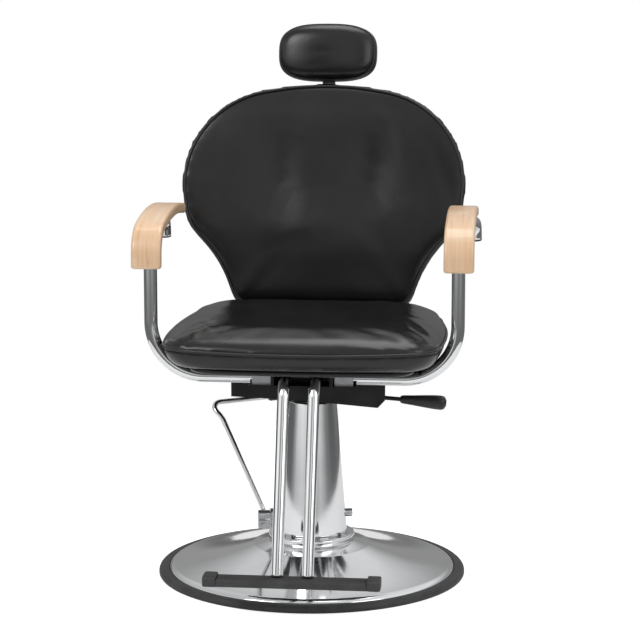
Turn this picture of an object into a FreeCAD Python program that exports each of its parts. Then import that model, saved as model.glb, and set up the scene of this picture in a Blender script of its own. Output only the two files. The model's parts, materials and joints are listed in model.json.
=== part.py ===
"""Hydraulic barber chair: round floor base with a tapered column, foot-pumped lift, swivelling seat with wooden
armrests and a footrest, reclining back and sliding headrest.

Units are millimetres. +Z is up, -Y is the front of the chair and +X its left-hand arm as seen by the sitter's
barber from the front. The origin is on the floor, on the axis of the column.
"""

import FreeCAD, Part
import Sketcher
import math
import os
import re
from FreeCAD import Placement, Rotation, Vector

# Driving dimensions, as alias, value and meaning
DIMENSIONS = (
    ("base_radius", 300, "outer radius of the rubber floor ring"),
    ("rim_width", 20, "width of the rubber floor ring seen from above"),
    ("rim_height", 14, "height of the rubber floor ring"),
    ("plate_thick", 6, "thickness of the steel floor plate"),
    ("dome_wall", 2.5, "sheet thickness of the chromed dome"),
    ("dome_crown", 66, "height of the dome at the flange"),
    ("flange_radius", 84, "outer radius of the column flange"),
    ("flange_thick", 14, "thickness of the column flange"),
    ("flange_bolt_circle", 76, "radius of the circle of flange bolts"),
    ("cover_low_radius", 69.5, "outer radius of the column cover at its foot"),
    ("cover_top_radius", 48.5, "outer radius of the column cover at its top"),
    ("cover_top", 343, "height of the top of the column cover"),
    ("cover_wall", 2, "sheet thickness of the column cover"),
    ("pump_turn", 15, "turn of the pump about the column, in degrees"),
    ("pump_radius", 43, "outer radius of the pump body and reservoir"),
    ("pump_top", 134, "height of the top of the pump body"),
    ("reservoir_wall", 3, "wall of the oil reservoir tube"),
    ("gland_low", 305, "height of the underside of the gland"),
    ("gland_top", 340, "height of the top of the gland"),
    ("bore_radius", 23, "bore of the lift cylinder"),
    ("bore_wall", 4, "wall of the lift cylinder"),
    ("ram_radius", 19, "radius of the ram"),
    ("piston_low", 137, "height of the underside of the piston, chair down"),
    ("running_gap", 0.06, "radial clearance of the running fits"),
    ("shaft_height", 114, "height of the pump lever shaft"),
    ("shaft_radius", 8, "radius of the pump lever shaft"),
    ("shaft_left", 106, "reach of the lever shaft on the lever side"),
    ("shaft_right", 80, "reach of the lever shaft on the other side"),
    ("plunger_offset", 26, "distance of the pump plunger from the shaft"),
    ("plunger_radius", 6, "radius of the pump plunger"),
    ("lever_rod_radius", 5, "radius of the foot lever rod"),
    ("foot_grip_radius", 9, "radius of the rubber sleeve on the foot lever"),
    ("hub_low", 345, "height of the underside of the seat hub, chair down"),
    ("hub_radius", 46, "radius of the seat hub"),
    ("web_top", 401, "height of the top of the seat saddle"),
    ("web_thick", 4, "sheet thickness of the seat saddle"),
    ("saddle_half", 148, "half width of the seat saddle"),
    ("saddle_front", 72, "reach of the saddle in front of the column"),
    ("saddle_rear", 110, "reach of the saddle behind the column"),
    ("tongue_half", 100, "half width of the saddle's front tongue"),
    ("tongue_front", 176, "reach of the saddle's tongue in front of the column"),
    ("rail_inner", 95, "distance of the inner face of each seat rail from the middle"),
    ("rail_width", 30, "width of each seat rail"),
    ("rail_height", 29, "height of each seat rail"),
    ("rail_wall", 2, "wall of each seat rail"),
    ("board_low", 430, "height of the underside of the seat board"),
    ("board_thick", 10, "thickness of the seat board"),
    ("seat_top", 520, "height of the crown of the seat cushion"),
    ("arm_tube_radius", 12.5, "radius of the arm tubes"),
    ("arm_tube_wall", 2, "wall of the arm tubes"),
    ("arm_line", 150, "distance of the arm posts in front of the column"),
    ("arm_post", 288, "distance of each arm post from the middle"),
    ("arm_bend", 100, "bend radius at the foot of each arm post"),
    ("arm_splay", 4.5, "outward turn of the upper arm tubes, in degrees"),
    ("wood_middle", 289.5, "distance of each wooden armrest from the middle"),
    ("wood_width", 56, "width of each wooden armrest"),
    ("wood_thick", 20, "thickness of each wooden armrest"),
    ("wood_bow", 640, "radius of the top of each wooden armrest"),
    ("wood_top", 720, "height of the crown of each wooden armrest"),
    ("wood_front", 193, "reach of each wooden armrest in front of the column"),
    ("wood_corner", 62, "radius of the front corner of each wooden armrest"),
    ("foot_tube_radius", 11, "radius of the footrest tubes"),
    ("foot_tube_gap", 56, "distance between the footrest tubes"),
    ("footrest_half", 161, "half length of the footrest bar"),
    ("footrest_depth", 42, "depth of the footrest bar from front to back"),
    ("footrest_top", 80, "height of the top of the footrest bar"),
    ("footrest_thick", 16, "thickness of the footrest bar"),
    ("footrest_middle", 345, "distance of the footrest bar in front of the column"),
    ("hinge_back", 215, "distance of the recline hinge behind the column"),
    ("hinge_height", 416, "height of the recline hinge"),
    ("hinge_pin_radius", 6, "radius of the recline hinge pins"),
    ("back_lean", 9, "lean of the back at rest, in degrees"),
    ("back_half", 290, "half width of the back at its widest"),
    ("back_top", 529, "length of the back from the hinge to its top edge"),
    ("half_recline", 17.5, "half of the recline travel, in degrees"),
    ("lever_arm", 58, "arm of the gas spring about the recline hinge"),
    ("gas_side", 70, "distance of the gas spring from the middle"),
    ("gas_front", 45, "distance of the gas spring's front pin in front of the column"),
    ("gas_radius", 11, "radius of the gas spring cylinder"),
    ("post_width", 26, "width of the headrest post"),
    ("post_thick", 6, "thickness of the headrest post"),
    ("pad_half", 102, "half width of the headrest pad"),
    ("pad_height", 117, "height of the headrest pad"),
    ("pad_thick", 62, "thickness of the headrest pad"),
    ("handle_droop", 4, "droop of the recline handle, in degrees"),
)

doc = FreeCAD.newDocument("barber_chair")
sheet = doc.addObject("Spreadsheet::Sheet", "Dims")
for row, (alias, value, meaning) in enumerate(DIMENSIONS, start=1):
    sheet.set(f"A{row}", meaning)
    sheet.set(f"B{row}", str(value))
    sheet.setAlias(f"B{row}", alias)
doc.recompute()

ALIASES = {alias for alias, _, _ in DIMENSIONS}
ALONG_X = Vector(1, 0, 0)
ALONG_Y = Vector(0, 1, 0)
ALONG_Z = Vector(0, 0, 1)
SIDES = (("left", -1), ("right", 1))

nodes = {}


def bound(expression):
    """The expression with each alias written as a cell of the sheet."""
    return re.sub(r"[a-z_]+", lambda word: f"Dims.{word[0]}" if word[0] in ALIASES else word[0], str(expression))


def size(expression):
    """The value of an expression in the sheet's aliases."""
    return float(sheet.evalExpression(str(expression)))


def keep(label, thing, placement=None):
    """Names a finished sub-part, places it and keeps it for export."""
    thing.Label = label
    if placement:
        thing.Placement = placement
    nodes[label] = thing
    return thing


# Sketches and features of the solid bodies


def new_body(name):
    return doc.addObject("PartDesign::Body", name)


def plane_of(body, role):
    return next(part for part in body.Origin.OriginFeatures if part.Role == role)


def arc_between(start, end, radius):
    """The shorter arc from start to end; a positive radius bulges to the right of the way."""
    across = Vector(end[0] - start[0], end[1] - start[1], 0)
    middle = Vector((start[0] + end[0]) / 2, (start[1] + end[1]) / 2, 0)
    height = math.sqrt(radius * radius - across.Length**2 / 4)
    side = Vector(-across.y, across.x, 0).normalize() * math.copysign(height, radius)
    centre = middle + side
    first = math.atan2(start[1] - centre.y, start[0] - centre.x)
    last = math.atan2(end[1] - centre.y, end[0] - centre.x)
    if radius < 0:
        first, last = last, first
    return Part.ArcOfCircle(Part.Circle(centre, ALONG_Z, abs(radius)), first, last)


def outline(sketch, corners):
    """A closed outline through corners of two expressions; a third one is the radius of the arc to the next corner."""
    points = [(size(corner[0]), size(corner[1])) for corner in corners]
    first = sketch.GeometryCount
    count = len(points)
    flipped = set()
    for index, corner in enumerate(corners):
        start, end = points[index], points[(index + 1) % count]
        if len(corner) > 2:
            radius = size(corner[2])
            sketch.addGeometry(arc_between(start, end, radius))
            if radius < 0:
                flipped.add(index)
        else:
            sketch.addGeometry(Part.LineSegment(Vector(*start, 0), Vector(*end, 0)))
    for index in range(count):
        leaving = 1 if index in flipped else 2
        following = (index + 1) % count
        entering = 2 if following in flipped else 1
        sketch.addConstraint(Sketcher.Constraint("Coincident", first + index, leaving, first + following, entering))
    for index, corner in enumerate(corners):
        end = 2 if index in flipped else 1
        for kind, at, value in (("DistanceX", points[index][0], corner[0]), ("DistanceY", points[index][1], corner[1])):
            number = sketch.addConstraint(Sketcher.Constraint(kind, -1, 1, first + index, end, at))
            sketch.setExpression(f"Constraints[{number}]", bound(value))
        if len(corner) > 2:
            radius = size(corner[2])
            number = sketch.addConstraint(Sketcher.Constraint("Radius", first + index, abs(radius)))
            sketch.setExpression(f"Constraints[{number}]", bound(f"abs({corner[2]})"))


def ring(sketch, across, up, radius):
    """A circle at two expressions, with its radius."""
    place = Vector(size(across), size(up), 0)
    index = sketch.addGeometry(Part.Circle(place, ALONG_Z, size(radius)))
    for kind, at, value in (("DistanceX", place.x, across), ("DistanceY", place.y, up)):
        number = sketch.addConstraint(Sketcher.Constraint(kind, -1, 1, index, 3, at))
        sketch.setExpression(f"Constraints[{number}]", bound(value))
    number = sketch.addConstraint(Sketcher.Constraint("Radius", index, size(radius)))
    sketch.setExpression(f"Constraints[{number}]", bound(radius))


def new_sketch(body, role, outlines=(), rings=(), raised=None):
    """A sketch on one of the body's own origin planes, raised along its normal."""
    sketch = body.newObject("Sketcher::SketchObject", f"{body.Name}_sketch")
    sketch.AttachmentSupport = [(plane_of(body, role), "")]
    sketch.MapMode = "FlatFace"
    if raised is not None:
        sketch.setExpression("AttachmentOffset.Base.z", bound(raised))
    for corners in outlines:
        outline(sketch, corners)
    for circle in rings:
        ring(sketch, *circle)
    return sketch


def pad(body, role, length, outlines=(), rings=(), raised=None, middle=False):
    """Adds a slab with the given outlines; holes are inner outlines or rings."""
    feature = body.newObject("PartDesign::Pad", f"{body.Name}_pad")
    feature.Profile = new_sketch(body, role, outlines, rings, raised)
    feature.setExpression("Length", bound(length))
    feature.Midplane = middle
    return feature


def pocket(body, role, length, outlines=(), rings=(), raised=None):
    """Cuts a slab that lies evenly on both sides of its sketch."""
    feature = body.newObject("PartDesign::Pocket", f"{body.Name}_pocket")
    feature.Profile = new_sketch(body, role, outlines, rings, raised)
    feature.setExpression("Length", bound(length))
    feature.Midplane = True
    return feature


def turn(body, corners, axis="V_Axis", role="XZ_Plane"):
    """A solid of revolution about the upright or the level axis of its sketch."""
    sketch = new_sketch(body, role, [corners])
    feature = body.newObject("PartDesign::Revolution", f"{body.Name}_turn")
    feature.Profile = sketch
    feature.ReferenceAxis = (sketch, [axis])
    feature.Angle = 360
    return feature


def box_corners(left, low, right, high):
    return [(left, low), (right, low), (right, high), (left, high)]


def turned(label, corners, placement=None):
    body = new_body(label)
    turn(body, corners)
    return keep(label, body, placement)


def tube_corners(inner, outer, low, high):
    return box_corners(inner, low, outer, high)


def round_edges(body, radius, chosen):
    """Rounds the edges of the body so far whose middle the test accepts."""
    doc.recompute()
    base = body.Tip
    names = []
    for index, edge in enumerate(base.Shape.Edges, start=1):
        middle = edge.valueAt((edge.FirstParameter + edge.LastParameter) / 2)
        if chosen(edge, middle):
            names.append(f"Edge{index}")
    feature = body.newObject("PartDesign::Fillet", f"{body.Name}_round")
    feature.Base = (base, names)
    feature.setExpression("Radius", bound(radius))
    return feature


# Swept tubes, lofted forms and groups of fasteners


def bent_path(points, bends):
    """A wire of straight runs; each inner point has a bend of its own radius."""
    points = [Vector(*point) for point in points]
    edges = []
    start = points[0]
    for corner, radius, following in zip(points[1:-1], bends, points[2:]):
        back = (start - corner).normalize()
        on = (following - corner).normalize()
        half = back.getAngle(on) / 2
        reach = radius / math.tan(half)
        centre = corner + (back + on).normalize() * (radius / math.sin(half))
        enter = corner + back * reach
        leave = corner + on * reach
        edges.append(Part.LineSegment(start, enter).toShape())
        crest = centre + (corner - centre).normalize() * radius
        edges.append(Part.Arc(enter, crest, leave).toShape())
        start = leave
    edges.append(Part.LineSegment(start, points[-1]).toShape())
    return Part.Wire(edges)


def swept(path, radius):
    first = path.Edges[0]
    at = first.valueAt(first.FirstParameter)
    way = first.tangentAt(first.FirstParameter)
    circle = Part.Wire([Part.Circle(at, way, radius).toShape()])
    return path.makePipeShell([circle], True, True)


def tube(label, points, bends, radius, wall=0.0, placement=None):
    """A bent tube or rod along the points."""
    path = bent_path(points, bends)
    shape = swept(path, radius)
    if wall:
        shape = shape.cut(swept(path, radius - wall))
    feature = doc.addObject("Part::Feature", label)
    feature.Shape = shape
    return keep(label, feature, placement)


def lofted(label, wires, placement=None):
    feature = doc.addObject("Part::Feature", label)
    feature.Shape = Part.makeLoft(wires, True, False)
    return keep(label, feature, placement)


def arcs_wire(stretches):
    """A closed wire of three-point arcs, or of a line where a stretch has two points."""
    edges = []
    for stretch in stretches:
        points = [Vector(*point) for point in stretch]
        curve = Part.Arc(*points) if len(points) == 3 else Part.LineSegment(*points)
        edges.append(curve.toShape())
    return Part.Wire(edges)


def mirrored(stretches):
    """The stretches of the +X half followed by their mirror images, in one direction round."""
    other = [tuple((-x, y, z) for x, y, z in reversed(stretch)) for stretch in reversed(stretches)]
    return list(stretches) + other


def rod(name, radius, length, start, way):
    """A plain cylinder of two expressions, from a start along a direction."""
    cylinder = doc.addObject("Part::Cylinder", name)
    cylinder.setExpression("Radius", bound(radius))
    cylinder.setExpression("Height", bound(length))
    cylinder.Placement = Placement(Vector(*start), Rotation(ALONG_Z, Vector(*way)))
    return cylinder


def screws(label, places, way, shank, reach, head, head_height, placement=None):
    """Screws in one node: each head starts at its place and its shank runs on the opposite way."""
    made = []
    back = tuple(-part for part in way)
    for number, place in enumerate(places, start=1):
        body = rod(f"{label}_shank_{number}", shank, reach, place, back)
        cap = rod(f"{label}_head_{number}", head, head_height, place, way)
        joined = doc.addObject("Part::MultiFuse", f"{label}_{number}")
        joined.Shapes = [body, cap]
        made.append(joined)
    group = doc.addObject("Part::Compound", label)
    group.Links = made
    return keep(label, group, placement)


def group_of(label, things, placement=None):
    group = doc.addObject("Part::Compound", label)
    group.Links = things
    return keep(label, group, placement)


# Floor base


def make_base():
    plate = new_body("base_plate")
    pad(plate, "XY_Plane", "plate_thick", rings=[("0", "0", "base_radius - rim_width - 4")])
    keep("base_plate", plate)

    turned("rim_trim", [
        ("base_radius - rim_width - 4", "0"),
        ("base_radius - 3", "0", "4"),
        ("base_radius", "3"),
        ("base_radius", "rim_height - 8", "9"),
        ("base_radius - 7", "rim_height"),
        ("base_radius - rim_width + 3", "rim_height", "4"),
        ("base_radius - rim_width - 0.5", "rim_height - 2.5"),
        ("base_radius - rim_width - 0.5", "plate_thick"),
        ("base_radius - rim_width - 4", "plate_thick"),
    ])

    turned("base_dome", [
        ("base_radius - rim_width - 5", "plate_thick"),
        ("base_radius - rim_width - 0.5", "plate_thick"),
        ("base_radius - rim_width - 0.5", "rim_height - 1.5", "14"),
        ("base_radius - rim_width - 12", "rim_height + 6", "-700"),
        ("flange_radius + 30", "dome_crown - 9", "-160"),
        ("flange_radius - 4", "dome_crown"),
        ("60", "dome_crown"),
        ("60", "dome_crown - dome_wall"),
        ("flange_radius - 5", "dome_crown - dome_wall", "160"),
        ("flange_radius + 29", "dome_crown - dome_wall - 9", "700"),
        ("base_radius - rim_width - 13", "rim_height + 6 - dome_wall"),
    ])


# Column cover, flange and hydraulic pump


def pump_place():
    return Placement(Vector(), Rotation(ALONG_Z, size("pump_turn")))


def make_column():
    place = pump_place()
    flange = new_body("column_flange")
    pad(flange, "XY_Plane", "flange_thick", raised="dome_crown",
        rings=[("0", "0", "flange_radius"), ("0", "0", "pump_radius + 2")])
    holes = []
    for step in range(4):
        turned_by = math.radians(45 + 90 * step)
        holes.append((f"flange_bolt_circle * {math.cos(turned_by):.6f}",
                      f"flange_bolt_circle * {math.sin(turned_by):.6f}", "4"))
    pocket(flange, "XY_Plane", "20", rings=holes, raised="dome_crown + flange_thick")
    doc.recompute()
    round_edges(flange, "2.5", lambda edge, at: abs(at.z - size("dome_crown + flange_thick")) < 0.01
                and abs(edge.Curve.Radius - size("flange_radius")) < 0.01)
    keep("column_flange", flange, place)

    circle = size("flange_bolt_circle")
    top = size("dome_crown + flange_thick")
    places = []
    for step in range(4):
        turned_by = math.radians(45 + 90 * step)
        places.append((circle * math.cos(turned_by), circle * math.sin(turned_by), top))
    screws("flange_bolts", places, (0, 0, 1), "4", "10", "6", "5", place)

    cover = new_body("column_cover")
    turn(cover, [
        ("cover_low_radius - cover_wall", "dome_crown + flange_thick"),
        ("cover_low_radius", "dome_crown + flange_thick"),
        ("cover_top_radius", "cover_top"),
        ("cover_top_radius - cover_wall", "cover_top"),
    ])
    pocket(cover, "YZ_Plane", "4 * cover_low_radius", rings=[("0", "shaft_height", "shaft_radius + 1.5")])
    keep("column_cover", cover, place)

    body = new_body("pump_body")
    pad(body, "XY_Plane", "pump_top - plate_thick", rings=[("0", "0", "pump_radius")], raised="plate_thick")
    pocket(body, "YZ_Plane", "4 * pump_radius", rings=[("0", "shaft_height", "shaft_radius + running_gap")])
    pocket(body, "YZ_Plane", "16", [box_corners("-13", "90", "plunger_offset + 10", "126")])
    pocket(body, "XY_Plane", "60", rings=[("0", "plunger_offset", "plunger_radius + running_gap")], raised="91")
    keep("pump_body", body, place)

    turned("oil_reservoir", tube_corners("pump_radius - reservoir_wall", "pump_radius", "pump_top", "gland_low"), place)
    turned("lift_cylinder", tube_corners("bore_radius", "bore_radius + bore_wall", "pump_top", "gland_low"), place)
    turned("gland_cap", [
        ("ram_radius + 4", "gland_low"),
        ("pump_radius", "gland_low"),
        ("pump_radius", "gland_top - 3"),
        ("pump_radius - 3", "gland_top"),
        ("ram_radius + 4", "gland_top"),
    ], place)
    turned("gland_bush", tube_corners("ram_radius + running_gap", "ram_radius + 4", "gland_low", "gland_top"), place)
    bracket = new_body("shaft_bracket")
    pad(bracket, "YZ_Plane", "10", raised="-cover_low_radius - 12.5",
        outlines=[[
            ("-18", "dome_crown + flange_thick"),
            ("18", "dome_crown + flange_thick"),
            ("14", "shaft_height", "14.01"),
            ("0", "shaft_height + 14", "14.01"),
            ("-14", "shaft_height"),
        ]],
        rings=[("0", "shaft_height", "shaft_radius + running_gap")])
    keep("shaft_bracket", bracket, place)


def make_piston():
    turned("piston", [
        ("0", "piston_low"),
        ("bore_radius - running_gap", "piston_low"),
        ("bore_radius - running_gap", "piston_low + 3"),
        ("bore_radius - 3", "piston_low + 3"),
        ("bore_radius - 3", "piston_low + 7"),
        ("bore_radius - running_gap", "piston_low + 7"),
        ("bore_radius - running_gap", "piston_low + 10"),
        ("0", "piston_low + 10"),
    ])
    turned("piston_seal", tube_corners("bore_radius - 3", "bore_radius - running_gap", "piston_low + 3",
                                       "piston_low + 7"))


# Foot lever that drives the pump


def make_foot_lever():
    place = pump_place()
    shaft = new_body("lever_shaft")
    pad(shaft, "YZ_Plane", "shaft_left + shaft_right", rings=[("0", "shaft_height", "shaft_radius")],
        raised="-shaft_left")
    pad(shaft, "YZ_Plane", "12", [box_corners("0", "shaft_height - 4", "plunger_offset + 4", "shaft_height + 4")],
        middle=True)
    keep("lever_shaft", shaft, place)

    clamp = new_body("lever_clamp")
    pad(clamp, "YZ_Plane", "22", raised="-shaft_left",
        outlines=[[
            ("-6", "shaft_height - 24"),
            ("6", "shaft_height - 24"),
            ("6", "shaft_height - 9.22", "11"),
            ("11", "shaft_height", "11.01"),
            ("0", "shaft_height + 11", "11.01"),
            ("-11", "shaft_height", "11"),
            ("-6", "shaft_height - 9.22"),
        ]],
        rings=[("0", "shaft_height", "shaft_radius")])
    keep("lever_clamp", clamp, place)

    low = size("shaft_height - 19")
    along = size("-shaft_left + 11")
    bolt = rod("clamp_bolt_shank", "3", "22", (along, -11, low), (0, 1, 0))
    caps = [rod("clamp_bolt_head", "6", "5", (along, -11, low), (0, 1, 0)),
            rod("clamp_bolt_nut", "6", "5", (along, 6, low), (0, 1, 0))]
    whole = doc.addObject("Part::MultiFuse", "clamp_bolt")
    whole.Shapes = [bolt] + caps
    keep("clamp_bolt", whole, place)

    foot = (along, 6, size("shaft_height + 9.5"))
    knee = (-164.5, 91.4, 292)
    corner = (-189.5, 110.6, 319.5)
    end = (42, 196, 319.5)
    tube("lever_rod", [foot, knee, corner, end], [45, 16], size("lever_rod_radius"), placement=place)
    way = (Vector(*end) - Vector(*corner)).normalize()
    start = Vector(*end) - way * 112
    grip = doc.addObject("Part::Feature", "foot_grip")
    sleeve = Part.makeCylinder(size("foot_grip_radius"), 116, start, way)
    grip.Shape = sleeve.cut(Part.makeCylinder(size("lever_rod_radius"), 112, start, way))
    keep("foot_grip", grip, place)


def make_plunger():
    body = new_body("pump_plunger")
    pad(body, "XY_Plane", "32", rings=[("0", "plunger_offset", "plunger_radius")], raised="shaft_height - 37")
    keep("pump_plunger", body, pump_place())


# Seat carrier: ram, hub, saddle and rails


def make_carrier():
    turned("ram", [
        ("0", "piston_low + 10.2"),
        ("ram_radius", "piston_low + 10.2"),
        ("ram_radius", "web_top - 10"),
        ("ram_radius - 3", "web_top - 7"),
        ("0", "web_top - 7"),
    ])
    turned("seat_hub", [
        ("ram_radius", "hub_low"),
        ("hub_radius - 2", "hub_low"),
        ("hub_radius", "hub_low + 2"),
        ("hub_radius", "hub_low + 24"),
        ("hub_radius - 6", "web_top - web_thick"),
        ("ram_radius", "web_top - web_thick"),
    ])

    saddle = new_body("seat_saddle")
    pad(saddle, "XY_Plane", "web_thick", raised="web_top - web_thick", outlines=[[
        ("-saddle_half", "-saddle_front"),
        ("-tongue_half", "-saddle_front"),
        ("-tongue_half", "-tongue_front"),
        ("tongue_half", "-tongue_front"),
        ("tongue_half", "-saddle_front"),
        ("saddle_half", "-saddle_front"),
        ("saddle_half", "saddle_rear"),
        ("-saddle_half", "saddle_rear"),
    ]])
    pad(saddle, "XZ_Plane", "web_thick", raised="saddle_front - web_thick", outlines=[[
        ("-saddle_half", "web_top - web_thick"),
        ("-saddle_half", "hub_low + 14"),
        ("-hub_radius", "hub_low + 10"),
        ("hub_radius", "hub_low + 4"),
        ("saddle_half - 14", "hub_low - 3"),
        ("saddle_half", "hub_low + 12"),
        ("saddle_half", "web_top - web_thick"),
    ]])
    keep("seat_saddle", saddle)

    for side, sign in SIDES:
        rail = new_body(f"seat_rail_{side}")
        first = "rail_inner" if sign > 0 else "-rail_inner - rail_width"
        pad(rail, "XZ_Plane", "arm_line - 20 + hinge_back + 17", raised="-hinge_back - 17", outlines=[
            box_corners(first, "web_top", f"{first} + rail_width", "web_top + rail_height"),
            box_corners(f"{first} + rail_wall", "web_top + rail_wall", f"{first} + rail_width - rail_wall",
                        "web_top + rail_height - rail_wall"),
        ])
        pocket(rail, "YZ_Plane", "8 * rail_inner", rings=[("hinge_back", "hinge_height", "hinge_pin_radius")])
        keep(f"seat_rail_{side}", rail)

    pins = []
    for side, sign in SIDES:
        start = (sign * size("rail_inner - 4"), size("hinge_back"), size("hinge_height"))
        head = (sign * size("rail_inner + rail_width + 11"), size("hinge_back"), size("hinge_height"))
        shank = rod(f"hinge_pin_shank_{side}", "hinge_pin_radius", "rail_width + 15", start, (sign, 0, 0))
        cap = rod(f"hinge_pin_head_{side}", "hinge_pin_radius + 4", "4", head, (sign, 0, 0))
        joined = doc.addObject("Part::MultiFuse", f"hinge_pin_{side}")
        joined.Shapes = [shank, cap]
        pins.append(joined)
    group_of("hinge_pins", pins)

    middle = size("rail_inner + rail_width / 2")
    low = size("web_top - web_thick")
    screws("saddle_bolts", [(sign * middle, y, low) for sign in (-1, 1) for y in (-45, 85)], (0, 0, -1),
           "4", "6", "8", "6")

    bracket = new_body("footrest_bracket")
    for left in ("-58", "52"):
        pad(bracket, "YZ_Plane", "6", [box_corners("-tongue_front - 6", "web_top", "-120", "web_top + 28")],
            raised=left)
    pad(bracket, "XZ_Plane", "5", [box_corners("-58", "web_top", "58", "web_top + 28")], raised="120")
    keep("footrest_bracket", bracket)


def make_gas_spring():
    side, front = "gas_side", "-gas_front"
    height = "hinge_height - lever_arm * (cos(half_recline) + 1) / 2"
    ears = new_body("gas_bracket")
    for inner in (f"{side} - 12", f"{side} + 8"):
        pad(ears, "YZ_Plane", "4", raised=inner,
            outlines=[box_corners(f"{front} - 12", f"{height} - 12", f"{front} + 12", "web_top - web_thick")],
            rings=[(front, height, "4")])
    pad(ears, "XY_Plane", "3", raised="web_top - web_thick - 3",
        outlines=[box_corners(f"{side} - 12", f"{front} - 12", f"{side} + 12", f"{front} + 12")])
    keep("gas_bracket", ears)
    at = Vector(size(side), size(front), size(height))
    keep("gas_pin", rod("gas_pin", "4", "26", (at.x - 13, at.y, at.z), (1, 0, 0)))

    axis = ALONG_Y
    shell = Part.makeCylinder(size("gas_radius"), 128, at + axis * 22, axis)
    shell = shell.cut(Part.makeCylinder(size("gas_radius - 2"), 118, at + axis * 26, axis))
    shell = shell.cut(Part.makeCylinder(4 + size("running_gap"), 12, at + axis * 140, axis))
    eye = Part.makeCylinder(11, 12, at - ALONG_X * 6, ALONG_X)
    neck = Part.makeCylinder(6, 22, at + axis * 2, axis)
    shell = shell.fuse([eye, neck]).cut(Part.makeCylinder(4, 14, at - ALONG_X * 7, ALONG_X)).removeSplitter()
    feature = doc.addObject("Part::Feature", "gas_cylinder")
    feature.Shape = shell
    keep("gas_cylinder", feature)

    far = Vector(at.x, size("hinge_back + lever_arm * sin(half_recline)"), at.z)
    stem = Part.makeCylinder(4, far.y - at.y - 9 - 66, at + axis * 66, axis)
    piston = Part.makeCylinder(size("gas_radius - 2 - running_gap"), 8, at + axis * 66, axis)
    eye = Part.makeCylinder(11, 10, far - ALONG_X * 5, ALONG_X)
    shape = stem.fuse([piston, eye]).cut(Part.makeCylinder(6.2, 12, far - ALONG_X * 6, ALONG_X)).removeSplitter()
    feature = doc.addObject("Part::Feature", "gas_rod")
    feature.Shape = shape
    keep("gas_rod", feature)


# Recline handle


def make_recline_handle():
    pivot_x, pivot_y, pivot_z = "118", "-20", "hub_low + 9"
    bracket = new_body("handle_bracket")
    for near in ("8", "30"):
        pad(bracket, "XZ_Plane", "4", raised=near,
            outlines=[box_corners(f"{pivot_x} - 13", f"{pivot_z} - 10", f"{pivot_x} + 13", "web_top - web_thick")],
            rings=[(pivot_x, pivot_z, "4")])
    pad(bracket, "XY_Plane", "3", raised="web_top - web_thick - 3",
        outlines=[box_corners(f"{pivot_x} - 13", "-34", f"{pivot_x} + 13", "-8")])
    keep("handle_bracket", bracket)
    at = Vector(size(pivot_x), size(pivot_y), size(pivot_z))
    keep("handle_pin", rod("handle_pin", "4", "30", (at.x, at.y - 16, at.z), (0, 1, 0)))

    place = Placement(at, Rotation(ALONG_Y, size("handle_droop")))
    eye = Part.makeCylinder(9, 14, Vector(0, -7, 0), ALONG_Y)
    arm = Part.makeCylinder(4, 86, Vector(6, 0, 0), ALONG_X)
    tail = Part.makeBox(30, 8, 5, Vector(-34, -4, -2.5))
    shape = eye.fuse([arm, tail]).cut(Part.makeCylinder(4 + size("running_gap"), 16, Vector(0, -8, 0), ALONG_Y))
    feature = doc.addObject("Part::Feature", "handle_lever")
    feature.Shape = shape.removeSplitter()
    keep("handle_lever", feature, place)

    grip = new_body("handle_grip")
    turn(grip, [
        ("57", "4.02"),
        ("57", "8"),
        ("80", "9.5", "-260"),
        ("120", "13.5", "-160"),
        ("136", "14", "-9"),
        ("144", "8"),
        ("144", "0"),
        ("92", "0"),
        ("92", "4.02"),
    ], axis="H_Axis")
    keep("handle_grip", grip, place)


# Arm tubes and wooden armrests


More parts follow.
